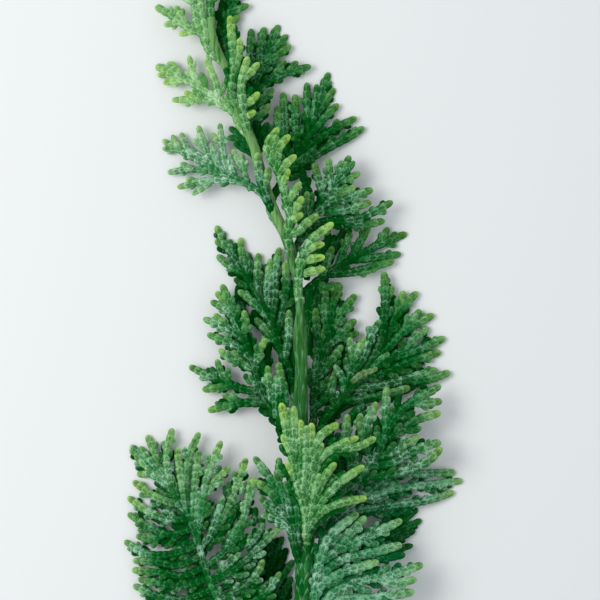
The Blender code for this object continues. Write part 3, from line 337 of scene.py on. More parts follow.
def add_pod(name, rings):
    """A closed pod along x. Each ring is its place, its half-width and its half-thickness."""
    bpy.ops.mesh.primitive_circle_add(vertices=8, radius=1, fill_type="NGON",
                                      rotation=(0, math.pi / 2, 0))
    pod = bpy.context.active_object
    pod.name = name
    bpy.ops.object.transform_apply(rotation=True)
    edit_all()
    place, wide, thick = rings[0]
    bpy.ops.transform.translate(value=(place, 0, 0))
    bpy.ops.transform.resize(value=(1, wide, thick))
    for next_place, next_wide, next_thick in rings[1:]:
        bpy.ops.mesh.extrude_region_move(
            TRANSFORM_OT_translate={"value": (next_place - place, 0, 0)})
        bpy.ops.transform.resize(value=(1, next_wide / wide, next_thick / thick))
        place, wide, thick = next_place, next_wide, next_thick
    end_edit()
    return pod


# %% A facial leaf, made with extrude and resize
def add_pad(name, middle, length, width, low, high):
    """A closed six-sided pad with a raised middle, its points fore and aft."""
    bpy.ops.mesh.primitive_circle_add(vertices=6, radius=1, fill_type="NGON",
                                      rotation=(0, 0, math.pi / 6), location=(middle, 0, low))
    pad = bpy.context.active_object
    pad.name = name
    bpy.ops.object.transform_apply(location=False, rotation=True)
    edit_all()
    bpy.ops.transform.resize(value=(length / 2, width / 2, 1))
    raised(high - low, 0.7, 0.62)
    end_edit()
    bpy.ops.object.transform_apply(location=True)
    return pad


# %% The joint and the blunt end of a shoot
def placed(name, data):
    """A new object in the scene with that data."""
    thing = bpy.data.objects.new(name, data)
    bpy.context.scene.collection.objects.link(thing)
    return thing


def joined(name, pieces):
    """The pieces as one object."""
    bpy.ops.object.select_all(action="DESELECT")
    for piece in pieces:
        piece.select_set(True)
    bpy.context.view_layer.objects.active = pieces[0]
    bpy.ops.object.join()
    whole = bpy.context.active_object
    whole.name = name
    bpy.ops.object.select_all(action="DESELECT")
    return whole


def as_arrays(unit, rim_of):
    """The unit's corners, its faces as flat lists, and how pale its wax is at each corner.
    The unit's object is then no longer needed."""
    corners = np.array([corner.co for corner in unit.data.vertices])
    sizes = np.array([len(face.vertices) for face in unit.data.polygons])
    loops = np.array([index for face in unit.data.polygons for index in face.vertices])
    rims = np.array([rim_of(x, y, z) for x, y, z in corners])
    bpy.data.objects.remove(unit)
    return dict(corners=corners, sizes=sizes, loops=loops, rims=rims)


def joint_rim(x, y, z):
    """How much wax lies there: little in the middle of a facial leaf, more along its outline
    and on the lateral leaves, and most at the front, where each leaf ends."""
    forwards = min(1.0, max(0.0, x))
    if abs(z) > 0.45:
        return 0.05 + 0.2 * forwards
    if abs(abs(z) - 0.36) < 0.005:
        return 0.65 + 0.35 * forwards
    return 0.2 + 0.65 * forwards ** 2


JOINT = as_arrays(joined("joint", [
    add_pod("lateral_leaves", [(-0.06, 0.84, 0.38), (0.38, 0.95, 0.42), (0.78, 1.0, 0.42),
                               (0.98, 0.90, 0.39), (1.12, 0.70, 0.28)]),
    add_pad("upper_leaf", 0.55, 1.25, 1.05, 0.36, 0.50),
    add_pad("lower_leaf", 0.55, 1.25, 1.05, -0.36, -0.50),
]), joint_rim)
TIP = as_arrays(joined("tip", [
    add_pod("last_leaves", [(-0.06, 0.84, 0.38), (0.30, 0.92, 0.42), (0.66, 0.84, 0.39),
                            (0.90, 0.58, 0.28), (1.02, 0.26, 0.12)]),
    add_pad("last_upper_leaf", 0.42, 0.95, 0.85, 0.36, 0.46),
    add_pad("last_lower_leaf", 0.42, 0.95, 0.85, -0.36, -0.46),
]), lambda x, y, z: 0.7 * joint_rim(x, y, z))
print("faces of a joint:", len(JOINT["sizes"]), "and of a tip:", len(TIP["sizes"]))

# %% [markdown]
# ## How a shoot lies
# A spray grows in one plane and then sags a little towards its tips, so each shoot follows a
# gently curved sheet. A smooth line is drawn through its places, and at every quarter of a
# millimetre the three directions along, across and up are worked out. Where the sheet would sink
# into the surface below, the shoot lies on it.

# %% Smooth lines and the spray's sheet
# How far apart the places on a line are, and how finely it is drawn before they are read off
STEP = 0.25
FINE_STEPS = 12
# How thick a shoot is for its width
FLATNESS = 0.55
# How far to either side the sheet's slope is taken
SLOPE_REACH = 0.2
# Over how many millimetres a shoot settles into its sheet, past the part led back to the stem
SETTLING = 1.5


def sampled(stops, runs, table):
    """Each column of the table, whose rows stand at the runs, read off at the stops."""
    return np.column_stack([np.interp(stops, runs, column) for column in table.T])


def smooth_line(places):
    """Points every quarter of a millimetre on a smooth line through the places."""
    spots = np.array(places, float)
    spots = np.vstack((2 * spots[0] - spots[1], spots, 2 * spots[-1] - spots[-2]))
    share = np.linspace(0, 1, FINE_STEPS, endpoint=False)[:, None]
    pieces = []
    for a, b, c, d in zip(spots, spots[1:], spots[2:], spots[3:]):
        pieces.append(0.5 * (2 * b + (c - a) * share + (2 * a - 5 * b + 4 * c - d) * share ** 2
                             + (3 * b - a - 3 * c + d) * share ** 3))
    fine = np.vstack(pieces + [spots[-2]])
    run = np.concatenate(([0], np.cumsum(np.linalg.norm(np.diff(fine, axis=0), axis=1))))
    stops = np.linspace(0, run[-1], max(3, int(round(run[-1] / STEP)) + 1))
    return sampled(stops, run, fine)


def sheet_heights(spray, flat):
    """Heights of the spray's sheet over places on the layout."""
    joint, tip = np.array(spray["shoots"][0][0]), np.array(spray["shoots"][0][-1])
    length = np.linalg.norm(tip - joint)
    along = (tip - joint) / length
    rightwards = np.array((along[1], -along[0]))
    offset = flat - joint
    share = np.maximum(0, offset @ along / length)
    low, middle, high = spray["heights"]
    droop = (low * (1 - share) * (1 - 2 * share) + middle * 4 * share * (1 - share)
             + high * share * (2 * share - 1))
    heights = droop + spray["tilt"] * (offset @ rightwards)
    return np.maximum(heights, FLATNESS * spray["width"] / 2)


def unit(vectors):
    return vectors / np.linalg.norm(vectors, axis=1)[:, None]


def shoot_frames(spray, line, lift, roll, root=None):
    """The shoot's middle line in space, and the directions along, across and up on it."""
    heights = np.maximum(sheet_heights(spray, line) + lift, FLATNESS * spray["width"] / 2)
    if root:
        back = np.clip(1 - np.arange(len(line)) * STEP / (root[1] + SETTLING), 0, 1)
        back = back * back * (3 - 2 * back)
        heights = heights * (1 - back) + root[0] * back
    middle = np.column_stack((line, heights))
    along = unit(np.gradient(middle, axis=0))
    slopes = [(sheet_heights(spray, line - step) - sheet_heights(spray, line + step)) / (2 * SLOPE_REACH)
              for step in np.eye(2) * SLOPE_REACH]
    up = unit(np.column_stack((*slopes, np.ones(len(line)))))
    across = unit(np.cross(up, along))
    up = np.cross(along, across)
    turned = across * math.cos(roll) + up * math.sin(roll)
    return middle, along, turned, np.cross(along, turned)


# %% [markdown]
# ## Lobes
# Between the long shoots a spray is filled by short lobes, which leave each shoot in turn to the
# left and to the right, leaning forwards. On a real spray they stop where they would meet their
# neighbours. The same rule grows them here: a lobe is shortened until it is clear of every other
# shoot of its spray, and one that would be too short isn't grown at all.

# %% Grow the lobes of a spray
# Rounds of growth: the order of the new lobes, how far above the sheet they lie in millimetres,
# the gap that they keep to other shoots' middles in widths, and their greatest length
LOBE_ROUNDS = [(1, 0.0, 0.76, 7.0), (2, 0.0, 0.66, 3.4), (2, -0.8, 0.42, 4.5), (3, -1.3, 0.32, 4.0)]
# The shortest lobe that is grown, and how near its end another drawn shoot has to be
LEAST_LOBE = 1.7
FAN_GAP = 3.7
# Sprays that daylight shows through, whose lobes are few and short
OPEN_SPRAYS = ("left_spray_6", "left_spray_8", "left_spray_9", "right_spray_7")
# Where daylight shows between the shoots
DAYLIGHT = np.array(shoots_of("""
    -29.5,28.9 -23.3,26 -15.2,25.4 -12,24.1 -34.7,17.8 -24,10.8 -36.8,11.5 -15.1,11.5 -13.8,17.3 -14.6,20
    -31.4,1.3 -33.6,6.5 -40,7.7 -9,18.8 -7.2,59.7 -7,57 -10.7,52.2 -14.5,53 -3.5,51.2 -13,67.4 -6.2,70.2
    -14.2,72.8 2,58.7 1.2,51.2 2,65 11,88 12.5,91 15,89.2 16.3,91.5 9.8,84.7 6.4,82.4 16.3,83.9
    -2.2,120.7 -6.8,119.1 4.2,120.1 5.2,116.3 -18,112.7 -17.2,110.3 -13.4,111.5 -15,105.1 -9.8,103.9
    -6,103.9 2.4,104.1 9.4,99.3 -11.2,110.7 -8.4,107.3 -12.4,104.3 -11.6,100.9 -5.6,95.5 25.9,29.6
    23.6,33 25.7,35.5 29.4,36.1 32.4,29.6 28.1,26.6 24.6,24.9 16.4,19 21.6,3.6""")[0])
# How far the middle of a lobe or a hidden shoot keeps from there, and the shortest part of a
# shoot that is left between two such places
DAYLIGHT_REACH = 1.0
SHORTEST_PART = 1.5
# How near the stem a side shoot has to begin to be led back to it, and the same for a rachis
NEAR_STEM = 3.0
ANYWHERE = 99.0
# A place on the layout that is far from every shoot
FAR_AWAY = 999.0
# Where the first lobe and each next one leave, in widths of the shoot, and at how many degrees
FIRST_LOBE = (0.5, 1.2)
NEXT_LOBE = (0.9, 1.25)
LOBE_ANGLE = (32, 44)
# How much further on the first lobe leaves a shoot that is longer than nine millimetres
LONG_SHOOT = 9
LATE_START = 1.5
# How much shorter the lobes of an open spray are
OPEN_LOBE = 0.7
# How near the end of its shoot a lobe counts as part of the spray's rim
RIM_RUN = 7


def from_daylight(line):
    """How far each place of the line is from daylight."""
    return np.linalg.norm(line[:, None, :2] - DAYLIGHT[None], axis=2).min(axis=1)


def parted(shoots):
    """The shoots, each left out where it would cover daylight, and parted there."""
    kept = []
    for shoot in shoots:
        clear = from_daylight(shoot["line"]) >= DAYLIGHT_REACH
        edges = np.nonzero(np.diff(clear))[0] + 1
        for part in np.split(np.arange(len(clear)), edges):
            if clear[part[0]] and len(part) * STEP > SHORTEST_PART:
                kept.append(dict(shoot, line=shoot["line"][part]))
    return kept


def rooted(places, reach):
    """The shoot, led back to the middle of the stem if it begins within reach of it, with the
    height of its new start and how long the new part is."""
    joint, ahead = np.array(places[0]), np.array(places[1])
    heading = (ahead - joint) / np.linalg.norm(ahead - joint)
    stem = smooth_line(STEM)
    if np.linalg.norm(stem[:, :2] - joint, axis=1).min() > reach:
        return dict(line=smooth_line(places))
    back = 2 + 4 * max(0.0, heading[1]) ** 4
    nearest = stem[np.argmin(np.linalg.norm(stem[:, :2] - (joint - back * heading), axis=1))]
    start = tuple(nearest[:2])
    return dict(line=smooth_line([start] + list(places)), root=(nearest[2], math.dist(start, joint)))


def turned_by(direction, angle):
    c, s = math.cos(angle), math.sin(angle)
    return np.array((c * direction[0] - s * direction[1], s * direction[0] + c * direction[1]))


def lobe_line(start, direction, reach, side):
    """A short line that leaves at an angle and bends a little forwards."""
    end = start + direction * reach
    bend = turned_by(direction, side * 0.25)
    return smooth_line([start, start + bend * reach * 0.5, end])


def clear_lobe(start, direction, side, full, others, drawn, gap):
    """The longest lobe whose outer part keeps its gap to every other shoot. None grows out of
    the fan, where no other drawn shoot is near on its side."""
    offset = drawn - start
    beside = side * (direction[0] * offset[:, 1] - direction[1] * offset[:, 0]) > -0.3
    drawn = np.vstack((drawn[beside], (FAR_AWAY, FAR_AWAY)))
    for part in (1.0, 0.85, 0.7, 0.55):
        reach = full * part
        if reach < LEAST_LOBE:
            return None
        line = lobe_line(start, direction, reach, side)
        if np.linalg.norm(drawn - line[-1], axis=1).min() > FAN_GAP:
            continue
        if from_daylight(line).min() < DAYLIGHT_REACH:
            continue
        outer = line[max(2, int(len(line) * 0.45)):]
        if np.linalg.norm(outer[:, None] - others[None], axis=2).min() > gap:
            return line
    return None


def grown(name, spray, chance):
    """Every shoot of the spray: its line, its order (0 for a drawn one), its share of the
    spray's width and how far it lies above or below the sheet."""
    width = spray["width"]
    shoots = [dict(rooted(places, NEAR_STEM if index else ANYWHERE), order=0, wide=1.0, lift=0.0)
              for index, places in enumerate(spray["shoots"])]
    more = [dict(rooted(places, NEAR_STEM), order=0, wide=0.95, lift=0.1, inner=True)
            for places in shoots_of(MORE_SHOOTS.get(name, ""))]
    more += [dict(line=smooth_line(places), order=0, wide=1.0, lift=-1.0)
             for places in shoots_of(UNDER_SHOOTS.get(name, ""))]
    shoots += parted(more)
    shoots += [dict(line=smooth_line(places), order=0, wide=0.8, lift=0.9, dry=0.55)
               for places in shoots_of(DRY_SHOOTS.get(name, ""))]
    for order, lift, gap, most in LOBE_ROUNDS:
        if name.startswith("front") and lift >= 0 or name in OPEN_SPRAYS and lift < 0:
            continue
        most = most * OPEN_LOBE if name in OPEN_SPRAYS else most
        parents = [shoot for shoot in shoots if shoot["order"] < order and shoot["lift"] >= min(0, lift)]
        for parent in parents:
            line = parent["line"]
            length = (len(line) - 1) * STEP
            rest = [other for other in shoots if other is not parent and other["lift"] >= min(0, 9 * lift)]
            others = np.vstack([other["line"] for other in rest])
            drawn = np.vstack([other["line"] for other in rest if other["order"] == 0]
                              + [others[:1] + FAR_AWAY])
            side = chance.choice((-1, 1))
            run = width * chance.uniform(*FIRST_LOBE) + parent.get("root", (0, 0))[1]
            if lift >= 0 and len(line) * STEP > LONG_SHOOT:
                run += LATE_START
            while run < length - LEAST_LOBE:
                side = -side
                index = int(run / STEP)
                heading = line[min(index + 2, len(line) - 1)] - line[max(index - 2, 0)]
                heading = heading / np.linalg.norm(heading)
                direction = turned_by(heading, side * math.radians(chance.uniform(*LOBE_ANGLE)))
                full = min(most, 0.8 + 0.34 * (length - run)) * chance.uniform(0.85, 1.1)
                lobe = clear_lobe(line[index], direction, side, full, others, drawn, gap * width)
                if lobe is not None:
                    shoots.append(dict(line=lobe, order=order, wide=0.92, lift=lift,
                                       rim=length - run < RIM_RUN))
                    others = np.vstack((others, lobe))
                run += width * chance.uniform(*NEXT_LOBE)
    return shoots


# %% [markdown]
# ## Clothing the shoots in scale leaves
# Copies of the joint are bent along each shoot's line, one every width or so, and the last place
# gets the blunt tip. Each corner carries four numbers for the material: how much wax it has, how
# fresh it is (the last millimetres of a shoot are yellow-green), the shoot's own tone with painted
# shade taken off it, and how far it has dried out.

# %% Bend copies of the joint along a shoot
# How wide a shoot is over its lateral leaves, for the width that its spray states
FULLNESS = 1.26
# Shades whose shoots are slenderer, and how wide those are instead
SLENDER = ("light", "pale", "grey")
SLENDER_FULLNESS = 1.12
# Over how many millimetres a shoot narrows to its end, and widens from its start
END_TAPER = 4.5
START_TAPER = 3
# How far from its end a shoot begins to darken with painted shade, and over how many millimetres it does
DARK_START = 3
DARK_RUN = 12
# How low a corner may lie over the surface
LEAST_HEIGHT = 0.02
# How much darker, as painted shade, a shoot of each shade is fifteen millimetres and more from its end
INNER_PAINTED_SHADE = {"dark": 0.6, "plain": 0.8, "deep": 1.0, "mid": 0.8, "blue": 0.35, "grey": 0.3,
               "light": 0.3, "pale": 0.3}


def freshening(spray, tip):
    """On the big left spray the shoots are fresher and paler towards the top, and darker lower down."""
    return float(np.interp(tip[1], (18, 32), (0.7, 2.3))) if spray["young_on_top"] else 1.0


def leafy(spray, shoot, chance):
    """Corners, faces and the four numbers of one shoot."""
    line = shoot["line"]
    length = (len(line) - 1) * STEP
    half = spray["width"] / 2 * shoot["wide"] * (SLENDER_FULLNESS if spray["shade"] in SLENDER
                                                      else FULLNESS)
    lift = shoot["lift"] + chance.uniform(-0.3, 0.3)
    roll = math.radians(chance.uniform(-14, 14))
    middle, along, across, up = shoot_frames(spray, line, lift, roll, shoot.get("root"))
    runs = np.linspace(0, length, len(line))
    count = max(1, int(round(length / (spray["width"] * shoot["wide"] * chance.uniform(0.9, 1.25)))))
    pitch = length / count
    side_shoot = shoot["order"] > 0
    fresher = freshening(spray, line[-1])
    fresh_run = spray["fresh_run"] * (0.6 if side_shoot else 1.0) * fresher
    fresh_most = spray["fresh"] * chance.uniform(0.6, 1.0) * (0.45 if side_shoot else 1.0)
    if "inner" in shoot:
        fresh_most, fresh_run = 0.6 * fresh_most, 0.5 * fresh_run
    # On the big left spray the tone rises towards the top and falls lower down
    tone = chance.uniform(0.8, 1.4) + (0.5 * fresher - 0.6 if spray["young_on_top"] else 0)
    # Painted shade: side shoots away from the spray's rim get a low tone, for the shade between the shoots,
    # and are half as fresh
    if side_shoot and not shoot.get("rim"):
        tone = chance.uniform(0.2, 0.6)
        fresh_most = 0.5 * fresh_most
    # Painted shade: shoots that lie under the sheet get a low tone, no freshness and less wax
    hidden = shoot["lift"] < 0
    if hidden:
        fresh_most, tone = 0.0, 0.12
    parts = []
    for place in range(count):
        unit_shape = TIP if place == count - 1 else JOINT
        corners = unit_shape["corners"]
        run = (place + corners[:, 0]) * pitch
        swell = half * (0.84 + 0.16 * np.clip((length - run) / END_TAPER, 0, 1))
        swell = swell * (0.86 + 0.14 * np.clip(run / START_TAPER, 0, 1)) * chance.uniform(0.95, 1.05)
        here, side, over = (sampled(run, runs, table) for table in (middle, across, up))
        spots = here + side * (corners[:, 1] * swell)[:, None] + over * (corners[:, 2] * swell)[:, None]
        spots = spots + along[-1] * np.maximum(0, run - length)[:, None]
        fresh = fresh_most * np.clip(1 - (length - run) / fresh_run, 0, 1)
        # Painted shade: a shoot darkens away from its end, towards the inside of the spray, and on the big
        # left spray half as much again
        painted_inner_shade = np.clip((length - run - DARK_START) / DARK_RUN, 0, 1) * INNER_PAINTED_SHADE[spray["shade"]]
        painted_inner_shade = painted_inner_shade * (1.5 if spray["young_on_top"] else 1.0)
        # Painted shade: a shoot is darker on its flanks, towards the gaps between shoots, and its wax fades
        # there
        flank = np.abs(corners[:, 1]) ** 2
        rims = unit_shape["rims"] * (0.8 if hidden else 1.0) * (1 - 0.45 * flank)
        dry = np.full(len(corners), shoot.get("dry", 0.0))
        parts.append((spots, unit_shape, rims, fresh, np.maximum(tone - painted_inner_shade, 0.1) - 0.4 * flank, dry))
    return parts


def as_mesh(name, parts):
    """Copies of units as one mesh object in the branch's own frame. Each part is its corners on
    the layout, its unit, and the wax, freshness, tone and dryness of its corners."""
    firsts = np.concatenate(([0], np.cumsum([len(part[0]) for part in parts])[:-1]))
    spots = np.vstack([part[0] for part in parts])
    spots[:, 2] = np.maximum(spots[:, 2], LEAST_HEIGHT)
    spots = (spots - (LAYOUT_X, LAYOUT_Y, 0)) * MM
    loops = np.concatenate([part[1]["loops"] + first for part, first in zip(parts, firsts)])
    sizes = np.concatenate([part[1]["sizes"] for part in parts])
    mesh = bpy.data.meshes.new(name)
    mesh.vertices.add(len(spots))
    mesh.vertices.foreach_set("co", spots.astype(np.float32).ravel())
    mesh.loops.add(len(loops))
    mesh.loops.foreach_set("vertex_index", loops.astype(np.int32))
    mesh.polygons.add(len(sizes))
    starts = np.concatenate(([0], np.cumsum(sizes)[:-1]))
    mesh.polygons.foreach_set("loop_start", starts.astype(np.int32))
    mesh.update(calc_edges=True)
    for label, column in (("wax", 2), ("fresh", 3), ("tone", 4), ("dry", 5)):
        layer = mesh.attributes.new(label, "FLOAT", "POINT")
        layer.data.foreach_set("value", np.concatenate([part[column] for part in parts]).astype(np.float32))
    mesh.validate()
    return placed(name, mesh)


def smoothed(whole, sharpest):
    """Smooth shading, with edges sharper than so many degrees kept sharp."""
    bpy.context.view_layer.objects.active = whole
    whole.select_set(True)
    bpy.ops.object.shade_smooth_by_angle(angle=math.radians(sharpest))
    whole.select_set(False)


def sprayed(name, spray, seed):
    """The whole spray, and how many shoots it has."""
    chance = np.random.default_rng(seed)
    shoots = grown(name, spray, chance)
    whole = as_mesh(name + "_leafy", [part for shoot in shoots for part in leafy(spray, shoot, chance)])
    smoothed(whole, 50)
    return whole, len(shoots)


# %% [markdown]
# ## Foliage material
# Scale leaves are deep green in their middles, pale blue-grey on the rims where wax gathers, and
# yellow-green where they are young. Shade is painted in too: shoots with a low tone and the grooves
# between joints turn deep green, and the wax pales the upper shoots most, partly as painted light.

# %% The material of a shade
GREEN_SHEEN = (0.05, 0.9, 0.3, 1)


def new_material(name, roughness, specular):
    """A new material, its node tree and its shader."""
    made = bpy.data.materials.new(name)
    made.use_nodes = True
    shader = made.node_tree.nodes["Principled BSDF"]
    shader.inputs["Roughness"].default_value = roughness
    shader.inputs["Specular IOR Level"].default_value = specular
    return made, made.node_tree, shader


def node_of(tree, kind, **values):
    made = tree.nodes.new(kind)
    for key, value in values.items():
        setattr(made, key, value)
    return made


def attribute_of(tree, label):
    return node_of(tree, "ShaderNodeAttribute", attribute_name=label).outputs["Fac"]


def plugged(tree, sockets, values):
    """Gives each socket its value: a colour, a number or another node's output."""
    for socket, value in zip(sockets, values):
        if isinstance(value, tuple):
            socket.default_value = (*value, 1)
        elif isinstance(value, (int, float)):
            socket.default_value = value
        else:
            tree.links.new(value, socket)


def mixed(tree, factor, a, b):
    """A colour between a and b. Each is a colour or another node's output."""
    mix = node_of(tree, "ShaderNodeMix", data_type="RGBA")
    colours = [socket for socket in mix.inputs if socket.type == "RGBA"]
    plugged(tree, [mix.inputs[0]] + colours, (factor, a, b))
    return [socket for socket in mix.outputs if socket.type == "RGBA"][0]


def reckoned(tree, operation, a, b, clamped=True):
    """A number worked out from a and b."""
    made = node_of(tree, "ShaderNodeMath", operation=operation, use_clamp=clamped)
    plugged(tree, made.inputs, (a, b))
    return made.outputs[0]


def product(tree, a, b):
    return reckoned(tree, "MULTIPLY", a, b)


def added(tree, a, b):
    """The sum of a and b, which may leave the range from 0 to 1."""
    return reckoned(tree, "ADD", a, b, clamped=False)


def eased(tree, value, low, high):
    """0 below low and 1 above high, with a smooth rise between."""
    made = node_of(tree, "ShaderNodeMapRange", interpolation_type="SMOOTHSTEP")
    sockets = [made.inputs[label] for label in ("Value", "From Min", "From Max")]
    plugged(tree, sockets, (value, low, high))
    return made.outputs["Result"]


def speckle(tree, scale, detail, stretch=None):
    """Fine blotches, or streaks if a stretch is given."""
    place = node_of(tree, "ShaderNodeTexCoord").outputs["Object"]
    if stretch:
        stretched = node_of(tree, "ShaderNodeMapping")
        stretched.inputs["Scale"].default_value = stretch
        tree.links.new(place, stretched.inputs["Vector"])
        place = stretched.outputs["Vector"]
    noise = node_of(tree, "ShaderNodeTexNoise")
    sockets = [noise.inputs[label] for label in ("Vector", "Scale", "Detail")]
    plugged(tree, sockets, (place, scale, detail))
    return noise.outputs["Fac"]


def surfaced(tree, shader, colour, height, strength, depth):
    """Gives a leafy surface its colour, its green sheen and its bump."""
    shader.inputs["Specular Tint"].default_value = GREEN_SHEEN
    bump = node_of(tree, "ShaderNodeBump")
    sockets = [bump.inputs[label] for label in ("Height", "Strength", "Distance")]
    plugged(tree, sockets, (height, strength, depth))
    plugged(tree, (shader.inputs["Base Color"], shader.inputs["Normal"]), (colour, bump.outputs["Normal"]))


def foliage(name, deep, mid, wax, pale, young, bloom, least_wax):
    """Green scale leaves: deep to mid green by tone, which carries painted shade, with waxed rims,
    then paler, and last young. Painted shade darkens the grooves between joints.
    """
    made, tree, shader = new_material(name, 0.65, 0.18)
    grain = speckle(tree, 2600.0, 2.0)
    uneven = added(tree, added(tree, speckle(tree, 300.0, 1.0), speckle(tree, 900.0, 1.0)), grain)
    rim = added(tree, attribute_of(tree, "wax"), added(tree, uneven, -1.5))
    # Deep green where the tone, which carries painted shade, is low, and mid green where it is high
    body = eased(tree, added(tree, rim, attribute_of(tree, "tone")), 0.2, 1.7)
    green = mixed(tree, body, deep, mid)
    patches = eased(tree, speckle(tree, 170.0, 1.0), 0.35, 0.65)
    # How much the wax shows: most on shoots with a high tone and in random patches, partly their own colour
    # and partly painted light on the upper shoots
    tone_and_light = eased(tree, added(tree, attribute_of(tree, "tone"), patches), 0.4, 1.9)
    fine_line = product(tree, eased(tree, rim, 0.5, 1.2), 0.24)
    soft_line = added(tree, product(tree, eased(tree, rim, least_wax, 1.1), 0.87), 0.08)
    line = reckoned(tree, "MAXIMUM", fine_line, product(tree, soft_line, tone_and_light))
    waxed = mixed(tree, product(tree, line, bloom), green, wax)
    ripe = attribute_of(tree, "fresh")
    paler = mixed(tree, product(tree, ripe, 0.9), waxed, pale)
    fresh = mixed(tree, reckoned(tree, "POWER", ripe, 2.6), paler, young)
    # Painted shade in the grooves: where there is little wax, at each joint's base, the colour is mixed
    # towards the deep green
    painted_groove_shade = product(tree, reckoned(tree, "SUBTRACT", 0.6, rim), 0.9)
    groove_shaded = mixed(tree, painted_groove_shade, fresh, deep)
    dried = mixed(tree, eased(tree, rim, 0.0, 1.0), (0.12, 0.20, 0.07), (0.40, 0.44, 0.27))
    surfaced(tree, shader, mixed(tree, attribute_of(tree, "dry"), groove_shaded, dried), grain, 0.4, 0.00015)
    return made


# Each shade: its deep and its mid green, its wax, its paler and its youngest green, how much the
# wax shows, and from how pale a rim on
# The darkest shade goes to sprays that lie low under others and the light one to the front sprays: partly
# their own colour, partly painted shade and light
SHADES = {shade: foliage(shade + "_foliage", *values) for shade, values in {
    "dark": ((0.0, 0.038, 0.001), (0.001, 0.12, 0.012), (0.1, 0.3, 0.165), (0.033, 0.205, 0.055),
             (0.15, 0.39, 0.075), 0.7, 0.3),
    "plain": ((0.0, 0.06, 0.003), (0.007, 0.19, 0.032), (0.26, 0.52, 0.31), (0.12, 0.34, 0.09),
              (0.22, 0.47, 0.1), 0.85, 0.1),
    "deep": ((0.0, 0.062, 0.003), (0.006, 0.205, 0.036), (0.43, 0.69, 0.53), (0.18, 0.45, 0.15),
             (0.33, 0.6, 0.1), 1.0, 0.05),
    "mid": ((0.0, 0.07, 0.005), (0.022, 0.245, 0.062), (0.46, 0.71, 0.57), (0.23, 0.48, 0.19),
            (0.39, 0.64, 0.115), 1.0, 0.0),
    "blue": ((0.0, 0.09, 0.018), (0.125, 0.425, 0.2), (0.5, 0.74, 0.6), (0.26, 0.54, 0.26),
             (0.39, 0.67, 0.12), 0.8, -0.1),
    "grey": ((0.01, 0.13, 0.03), (0.185, 0.45, 0.23), (0.56, 0.77, 0.62), (0.31, 0.55, 0.27),
             (0.39, 0.65, 0.14), 0.95, -0.1),
    "light": ((0.0, 0.105, 0.008), (0.17, 0.45, 0.148), (0.48, 0.73, 0.47), (0.33, 0.6, 0.19),
              (0.46, 0.72, 0.11), 0.75, 0.0),
    "pale": ((0.06, 0.24, 0.05), (0.29, 0.56, 0.225), (0.54, 0.76, 0.52), (0.36, 0.62, 0.245),
             (0.46, 0.7, 0.16), 0.85, -0.1),
}.items()}
# The most that a shade's tips are freshened, and over how many millimetres
FRESH = {"dark": (0.5, 5.0), "plain": (0.9, 6.0), "deep": (0.9, 7.0), "mid": (0.9, 8.0), "blue": (0.95, 8.0),
         "grey": (0.9, 8.0), "light": (1.0, 8.0), "pale": (0.95, 9.0)}
# Where a spray's surface is a neighbouring shade of the one that its solid has
OTHER_SHADES = {"left_spray_1": "mid", "left_spray_5": "deep", "left_spray_6": "grey",
                "left_spray_8": "pale", "left_spray_9": "pale", "right_spray_3": "blue",
                "right_spray_4": "mid", "right_spray_6": "plain", "right_spray_7": "plain",
                "right_spray_8": "deep", "right_spray_9": "plain", "right_spray_10": "plain",
                "right_spray_11": "plain"}

# %% Grow every spray
faces_in_all = 0
for seed, (name, spray) in enumerate(SPRAYS.items()):
    spray["shade"] = OTHER_SHADES.get(name, spray["shade"])
    spray["fresh"], spray["fresh_run"] = FRESH[spray["shade"]]
    spray["young_on_top"] = name == "left_spray_1"
    piece, shoot_count = sprayed(name, spray, 40 + seed)
    piece.data.materials.append(SHADES[spray["shade"]])
    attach(piece, "root")
    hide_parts(name)
    faces_in_all += len(piece.data.polygons)
    print(name, "shoots", shoot_count, "faces", len(piece.data.polygons))
print("faces of the foliage:", faces_in_all)

# %% [markdown]
# ## The stem
# The young stem is green and has lengthwise ridges, the run-down bases of its scale leaves.

# %% Bark and cut wood
def bark():
    """Green bark: fine lengthwise streaks, pale rims on its scale leaves, and painted shade at their bases.
    """
    made, tree, shader = new_material("green_bark", 0.6, 0.1)
    streaks = speckle(tree, 1300.0, 2.0, stretch=(1.0, 0.1, 1.0))
    patches = speckle(tree, 220.0, 2.0)
    leaf = mixed(tree, eased(tree, patches, 0.3, 0.7), (0.0, 0.100, 0.008), (0.035, 0.200, 0.040))
    # Where the tone is low the bark turns deep green: on the bare stem between the scale leaves, and at
    # their bases as painted shade
    green = mixed(tree, attribute_of(tree, "tone"), (0.0, 0.060, 0.004), leaf)
    rim = product(tree, attribute_of(tree, "wax"), added(tree, patches, 0.5))
    line = product(tree, reckoned(tree, "POWER", rim, 1.6), 0.9)
    waxed = mixed(tree, line, green, (0.190, 0.430, 0.270))
    paler = mixed(tree, attribute_of(tree, "fresh"), waxed, (0.235, 0.450, 0.150))
    dark_streak = product(tree, eased(tree, streaks, 0.55, 0.35), 0.6)
    streaked = mixed(tree, dark_streak, paler, (0.0, 0.070, 0.005))
    surfaced(tree, shader, streaked, streaks, 0.5, 0.0002)
    return made


def cut_wood():
    """The pale wood that the cut shows."""
    made, tree, shader = new_material("cut_wood", 0.75, 0.5)
    grain = speckle(tree, 2600.0, 4.0)
    tone = mixed(tree, grain, (0.42, 0.33, 0.17), (0.66, 0.58, 0.38))
    tree.links.new(tone, shader.inputs["Base Color"])
    return made


# %% Ridged tube along the stem's line
# How many corners the ridged outline has
OUTLINE = 32


